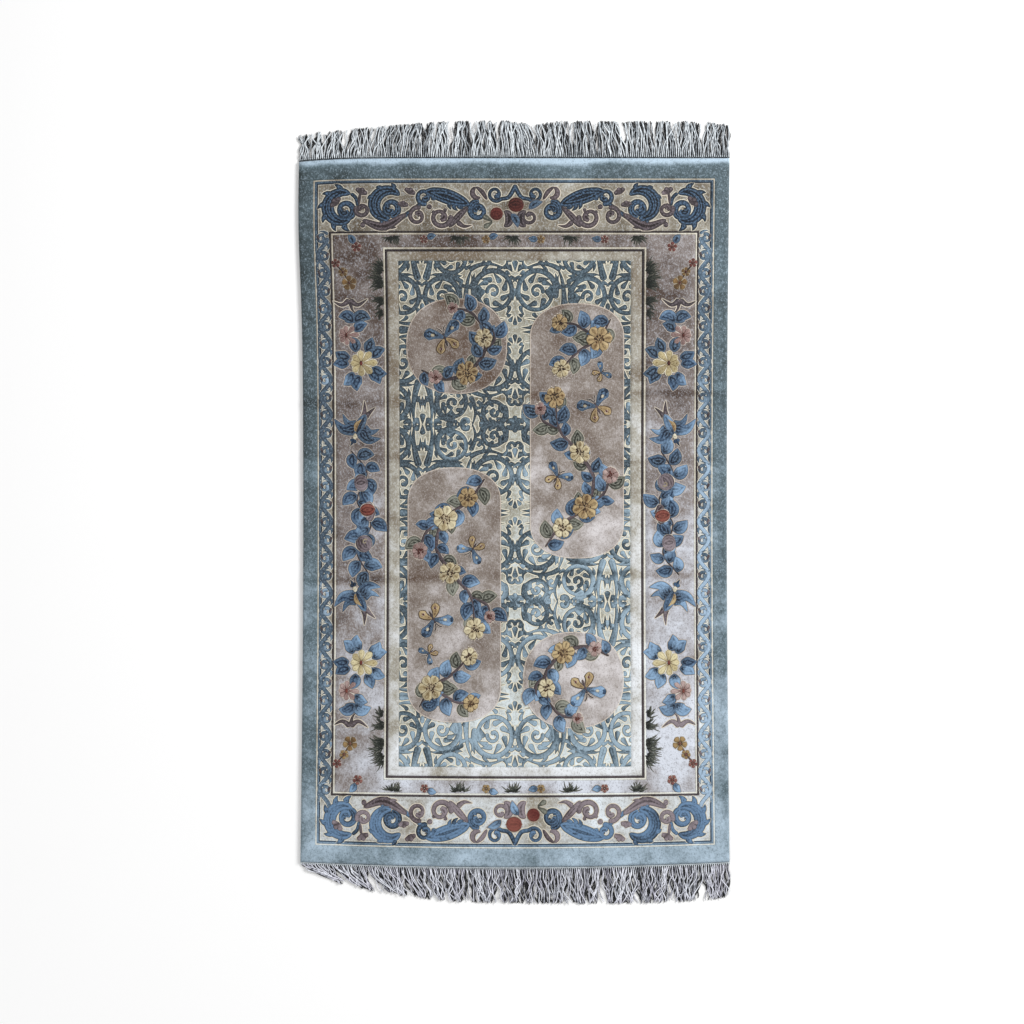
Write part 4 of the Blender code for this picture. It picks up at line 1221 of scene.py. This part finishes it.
def butterfly(x, y, size, turn):
    """A butterfly from above with its wings spread, as strokes by dye, in the order that they lie."""
    wing = (
        ("gold", "petal", 0.21, (0.05, -0.05), (0.28, -0.28), (0.42, -0.62)),
        ("leaf_blue", "petal", 0.29, (0.05, 0.06), (0.42, 0.32), (0.86, 0.50)),
        ("navy", "oval", 0.09, (0.70, 0.56), (0.84, 0.36)),
        ("ivory", "oval", 0.06, (0.40, 0.26), (0.56, 0.36)),
        ("brick", "oval", 0.05, (0.30, -0.36), (0.34, -0.46)),
        ("branch", "stem", 0.025, (0.02, 0.26), (0.08, 0.42), (0.20, 0.54)),
    )
    other_wing = [(*part[:3], *((-u, v) for u, v in part[3:])) for part in wing]
    body = ("branch", "swell", 0.07, (0, 0.30), (0, -0.05), (0, -0.40))
    return placed_parts((*other_wing, *wing, body), x, y, size, turn)


for (middle_x, middle_y), stems, blooms in (
    (LONG_MIDDLE, LONG_STEMS, LONG_PEONIES), (ROUND_MIDDLE, ROUND_STEMS, ROUND_PEONIES),
):
    for number, stem in enumerate(stems):
        stem = tuple((middle_x + x, middle_y + y) for x, y in stem)
        leaves = sprig_leaves(stem, 7.6, 17.0, 40 + number + len(stems))
        on_panel("branch", [("swell", 2.0 if number == 0 else 1.5, stem)], 1, BOTH_ENDS, 0.6)
        on_panel("olive", leaves[1::3], 0, BOTH_ENDS, 0.7)
        on_panel("leaf_blue", leaves[::3] + leaves[2::3], 1, BOTH_ENDS, 0.7)
    for dye, turned_dye, x, y, reach, count, turn in blooms:
        peony(dye, middle_x + x, middle_y + y, reach, count, turn, ("same",))
        peony(turned_dye, middle_x + x, middle_y + y, reach, count, turn, ("turned",))
for (middle_x, middle_y), x, y, size, turn in BUTTERFLIES:
    for level, (dye, stroke) in enumerate(butterfly(middle_x + x, middle_y + y, size, turn)):
        on_panel(dye, [stroke], 3 + level % 6, BOTH_ENDS, 0.6)
motif_piece("panel_motifs")


# The fringe: about 210 warps at each end, knotted off in a row and left as two-ply cords 2 mm thick. They
# lie on the floor in locks, over cords underneath that are painted near black as shadow, with strays across
# the top.
HEADING_GAP = 0.0003
HEADING_WIDTH = 0.0034
CORD_STEPS = 15
CORD_SIDES = 6
KNOTS = 214
DRIFT_POWER = 1.5
PLY_LENGTH = 0.0052
SWAYS = {1: (0.0012, 0.0045), -1: (0.0020, 0.0065)}
STRAY_SHARE = 0.10
STRAY_REACH = 0.020
FRAYED = 0.0035
ROOT_LEVEL = 0.0018
BOB = 0.0006
TIP_START = 0.97
# How the cords lie, by share of the width from the left: how far they drift and how long they are.
HEAD_LIE = (
    (0, 0.004, 0.056), (0.08, 0.004, 0.060), (0.17, 0.014, 0.067), (0.28, 0.006, 0.075), (0.36, 0.002, 0.078),
    (0.48, -0.002, 0.079), (0.55, -0.010, 0.072), (0.62, -0.004, 0.079), (0.74, -0.010, 0.078),
    (0.84, -0.008, 0.079),
    (0.93, 0.004, 0.077), (1, 0.012, 0.072),
)
FOOT_LIE = (
    (0, 0.046, 0.034), (0.07, 0.042, 0.044), (0.15, 0.033, 0.056), (0.26, 0.021, 0.068), (0.36, 0.012, 0.074),
    (0.48, 0.005, 0.076), (0.60, 0.001, 0.078), (0.72, 0.003, 0.079), (0.84, -0.001, 0.080),
    (0.94, -0.003, 0.078),
    (1, 0.002, 0.074),
)
# Where the cords gather into locks, by share of the width, and how closely.
HEAD_LOCKS = (
    (0.014, 0.75), (0.042, 0.80), (0.078, 0.60), (0.130, 0.35), (0.20, 0.10), (0.27, 0.15), (0.298, 0.60),
    (0.325, 0.65), (0.375, 0.50), (0.43, 0.45), (0.50, 0.10), (0.60, 0.20), (0.665, 0.30), (0.72, 0.35),
    (0.80, 0.12),
    (0.855, 0.50), (0.90, 0.40), (0.965, 0.45),
)
FOOT_LOCKS = (
    (0.04, 0.65), (0.11, 0.55), (0.20, 0.40), (0.27, 0.35), (0.312, 0.60), (0.345, 0.60), (0.42, 0.30),
    (0.50, 0.15),
    (0.58, 0.30), (0.66, 0.35), (0.74, 0.40), (0.82, 0.20), (0.90, 0.40), (0.975, 0.50),
)
# The layers, from the cords underneath to the strays: how many, how far they spread, the lowest and
# highest lie, the radius, and the darkest and lightest tone. The cords underneath get a dark tone as painted
# shadow; the others a random tone.
LAYERS = (
    (300, 0.0016, 0.0013, 0.0015, 0.0013, -2.4, -1.6),
    (KNOTS, 0.0040, 0.0022, 0.0046, 0.00112, -0.4, 1.0),
    (64, 0.0120, 0.0034, 0.0058, 0.0010, 0.2, 1.3),
)


def end_edge(share, side, beyond):
    """Places just beyond the rug's head (side 1) or foot (side -1), by share of its width from the left."""
    x, y = strayed((share - 0.5) * RUG_WIDTH, side * RUG_LENGTH / 2 + 0 * share)
    return x, y + side * beyond


def cord_grid(side, lie, locks, seed, count, spread, low, high, radius):
    """Rings round every cord. Its line leaves the edge square, drifts with its lock by a power of its
    length, sways by a sine and sinks by a quarter to its tip. With the places come the rings' crest, length
    run and turn."""
    chance = np.random.default_rng(seed)
    share = (np.arange(count) + 0.5 + chance.uniform(-0.08, 0.08, count)) / count
    if count < KNOTS:
        share = (chance.permutation(KNOTS)[:count] + 0.5) / KNOTS
    lie, locks = np.array(lie), np.array(locks)
    nearest = np.abs(share[:, None] - locks[:, 0]).argmin(axis=1)
    gather = locks[nearest, 1] * (locks[nearest, 0] - share) * RUG_WIDTH
    strays = np.where(chance.random(count) < STRAY_SHARE, chance.uniform(-STRAY_REACH, STRAY_REACH, count), 0.0)
    drift = np.interp(share, lie[:, 0], lie[:, 1]) + gather + chance.normal(0, spread, count) + strays
    reach = np.interp(share, lie[:, 0], lie[:, 2]) - np.abs(chance.normal(0, FRAYED, count))
    reach = reach - np.abs(strays) * 0.35
    part = np.linspace(0, 1, CORD_STEPS)[:, None]
    root_x, root_y = end_edge(share, side, HEADING_GAP + HEADING_WIDTH * 0.6)
    sway = chance.uniform(*SWAYS[side], count)
    sway = sway * np.sin(part * chance.uniform(4, 11, count) + chance.uniform(0, 6, count))
    x = root_x + drift * part**DRIFT_POWER + sway * np.minimum(1, part * 2.5)
    y = root_y + side * reach * part
    rise = chance.uniform(low, high, count) + BOB * np.sin(part * chance.uniform(3, 9, count))
    z = np.maximum(radius, ROOT_LEVEL + (rise - ROOT_LEVEL) * np.minimum(1, part * 4)) * (1 - 0.25 * part)
    ahead_x, ahead_y = np.gradient(x, axis=0), np.gradient(y, axis=0)
    size = np.hypot(ahead_x, ahead_y)
    turn = np.linspace(0, 2 * math.pi, CORD_SIDES + 1)[:-1]
    girth = radius * np.where(part < TIP_START, 1.0, 0.45) * (0.82 + 0.18 * np.minimum(1, part * 7))
    girth = girth[..., None]
    ring_x = x[..., None] + girth * np.cos(turn) * (ahead_y / size)[..., None]
    ring_y = y[..., None] - girth * np.cos(turn) * (ahead_x / size)[..., None]
    ring_z = z[..., None] + girth * np.sin(turn)
    crest, around = np.sin(turn) + 0 * ring_x, turn / (2 * math.pi) + 0 * ring_x
    along = part[..., None] * reach[:, None] + 0 * ring_x
    return [np.moveaxis(values, 1, 0) for values in (ring_x, ring_y, ring_z, crest, along, around)]


def cord_silk():
    """Silver-grey twisted silk: painted lighter on the top of each cord and near black as painted shade on its
    sides and in the gaps, a stripe where the two plies cross, and a lilac cast towards the foot."""
    material, nodes, shader, bump = silk_shader("cord_silk", 0.5, 0.3, 0.5)
    place = nodes.place()
    turns = nodes.times(nodes.read("along"), 2 * math.pi / PLY_LENGTH)
    turns = nodes.plus(turns, nodes.times(nodes.read("around"), 2 * math.pi))
    plies = nodes.math("ABSOLUTE", nodes.math("SINE", turns))
    mottle = swung(nodes, nodes.noise(place, 160.0), 1.3)
    # Painted light: each cord's crest lighter, on its tone, which is painted shadow for the cords underneath.
    light = nodes.plus(nodes.times(nodes.read("crest"), 0.75), nodes.times(nodes.read("tone_and_shade"), 0.5))
    light = nodes.plus(light, nodes.plus(mottle, nodes.times(plies, 0.20)))
    light = nodes.minus(light, 0.53)
    lighter = nodes.times(light, 1.3, clamp=True)
    darker = nodes.times(light, -2.1, clamp=True)
    foot = nodes.times(nodes.add("ShaderNodeSeparateXYZ", {"Vector": place}).outputs["Y"], -3.0, clamp=True)
    lilac = nodes.times(foot, nodes.times(nodes.noise(place, 22.0), 1.3), clamp=True)
    middle = nodes.mix(lilac, linear(124, 131, 138), linear(140, 138, 154))
    pale = nodes.mix(lilac, linear(240, 247, 252), linear(240, 240, 252))
    colour = nodes.mix(darker, nodes.mix(lighter, middle, pale), linear(13, 16, 19))
    nodes.tree.links.new(colour, shader.inputs["Base Color"])
    nodes.tree.links.new(plies, bump.inputs["Height"])
    return material


def repeated(quads, count, size):
    """The quads of one shape, repeated for each of count like shapes of size points."""
    return (quads[None] + (np.arange(count) * size)[:, None, None]).reshape(-1, 4)


cord_paint = cord_silk()
for name, node, side, lie, locks, seed in (
    ("head_fringe", "fringe_head", 1, HEAD_LIE, HEAD_LOCKS, 11),
    ("foot_fringe", "fringe_foot", -1, FOOT_LIE, FOOT_LOCKS, 23),
):
    grids, faces, cord_tones_and_shade, total = [], [], [], 0
    chance = np.random.default_rng(seed + 5)
    quads = grid_faces(CORD_STEPS, CORD_SIDES, closed=True)[:, ::side]
    for number, (count, *lay, darkest, lightest) in enumerate(LAYERS):
        grids.append([values.ravel() for values in cord_grid(side, lie, locks, seed + number, count, *lay)])
        faces.append(repeated(quads, count, CORD_STEPS * CORD_SIDES) + total)
        cord_tones_and_shade.append(np.repeat(chance.uniform(darkest, lightest, count), CORD_STEPS * CORD_SIDES))
        total += grids[-1][0].size
    x, y, z, crest, along, around = (np.concatenate(values) for values in zip(*grids))
    look = {"tone_and_shade": np.concatenate(cord_tones_and_shade), "crest": crest, "along": along, "around": around}
    piece = rug_piece(name, x, y, z, np.vstack(faces), cord_paint, "warp_cord", 0 * x, strays=False, **look)
    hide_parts(node)


# The heading at each end: the last wefts, overcast into a pale rib, and a row of knots that holds the warps.
HEADING_STEPS = 261
RIB_ROWS = ((0.0, 0.0009), (0.0004, 0.0024), (0.0016, 0.0030), (0.0028, 0.0024), (0.0034, 0.0008))
KNOT_OUT = 0.0008
KNOT_HALF = (0.0016, 0.0019)
KNOT_BASE = 0.0014
KNOT_HEIGHT = 0.0018
# Rows round each knot from its foot up: how high, how wide and its painted light, darker at the foot and
# lighter on top.
KNOT_ROWS = ((0.0, 1.0, -2.0), (0.5, 0.87, -0.6), (0.87, 0.5, 0.9), (1.0, 0.0, 1.4))
KNOT_SIDES = 6
# The rib's painted light: painted dark at the head and light at the foot.
RIB_SHINE = -1.6
heading_paint = pile_silk("heading_silk", (158, 168, 174), (30, 36, 42), (226, 234, 238), 0.6)
rib_share = np.linspace(0.0, 1.0, HEADING_STEPS)
knot_share = (np.arange(KNOTS) + 0.5) / KNOTS
knot_turn = np.linspace(0, 2 * math.pi, KNOT_SIDES + 1)[:-1]
rib_out, rib_height = np.array(RIB_ROWS).T[..., None]
up, girth, shine = np.array(KNOT_ROWS).T[..., None]
for name, side in (("head_heading", 1), ("foot_heading", -1)):
    x, y = end_edge(rib_share + 0 * rib_out, side, HEADING_GAP + rib_out)
    z = rib_height + 0 * x
    rib_faces = grid_faces(*x.shape)[:, ::-side]
    knot_x, knot_y = end_edge(knot_share, side, HEADING_GAP + HEADING_WIDTH + KNOT_OUT)
    ball_x = knot_x[:, None, None] + KNOT_HALF[0] * girth * np.cos(knot_turn)
    ball_y = knot_y[:, None, None] + KNOT_HALF[1] * girth * np.sin(knot_turn)
    ball_z = KNOT_BASE + KNOT_HEIGHT * up + 0 * ball_x
    balls = repeated(grid_faces(len(up), KNOT_SIDES, closed=True), KNOTS, len(up) * KNOT_SIDES)
    pairs = ((x, ball_x), (y, ball_y), (z, ball_z), (0 * x + RIB_SHINE * side, 0 * ball_x + shine))
    *places, painted_light_and_tone = (np.concatenate([rib.ravel(), ball.ravel()]) for rib, ball in pairs)
    faces = np.vstack([rib_faces, balls + x.size])
    rug_piece(name, *places, faces, heading_paint, "warp_cord", painted_light_and_tone, strays=False)
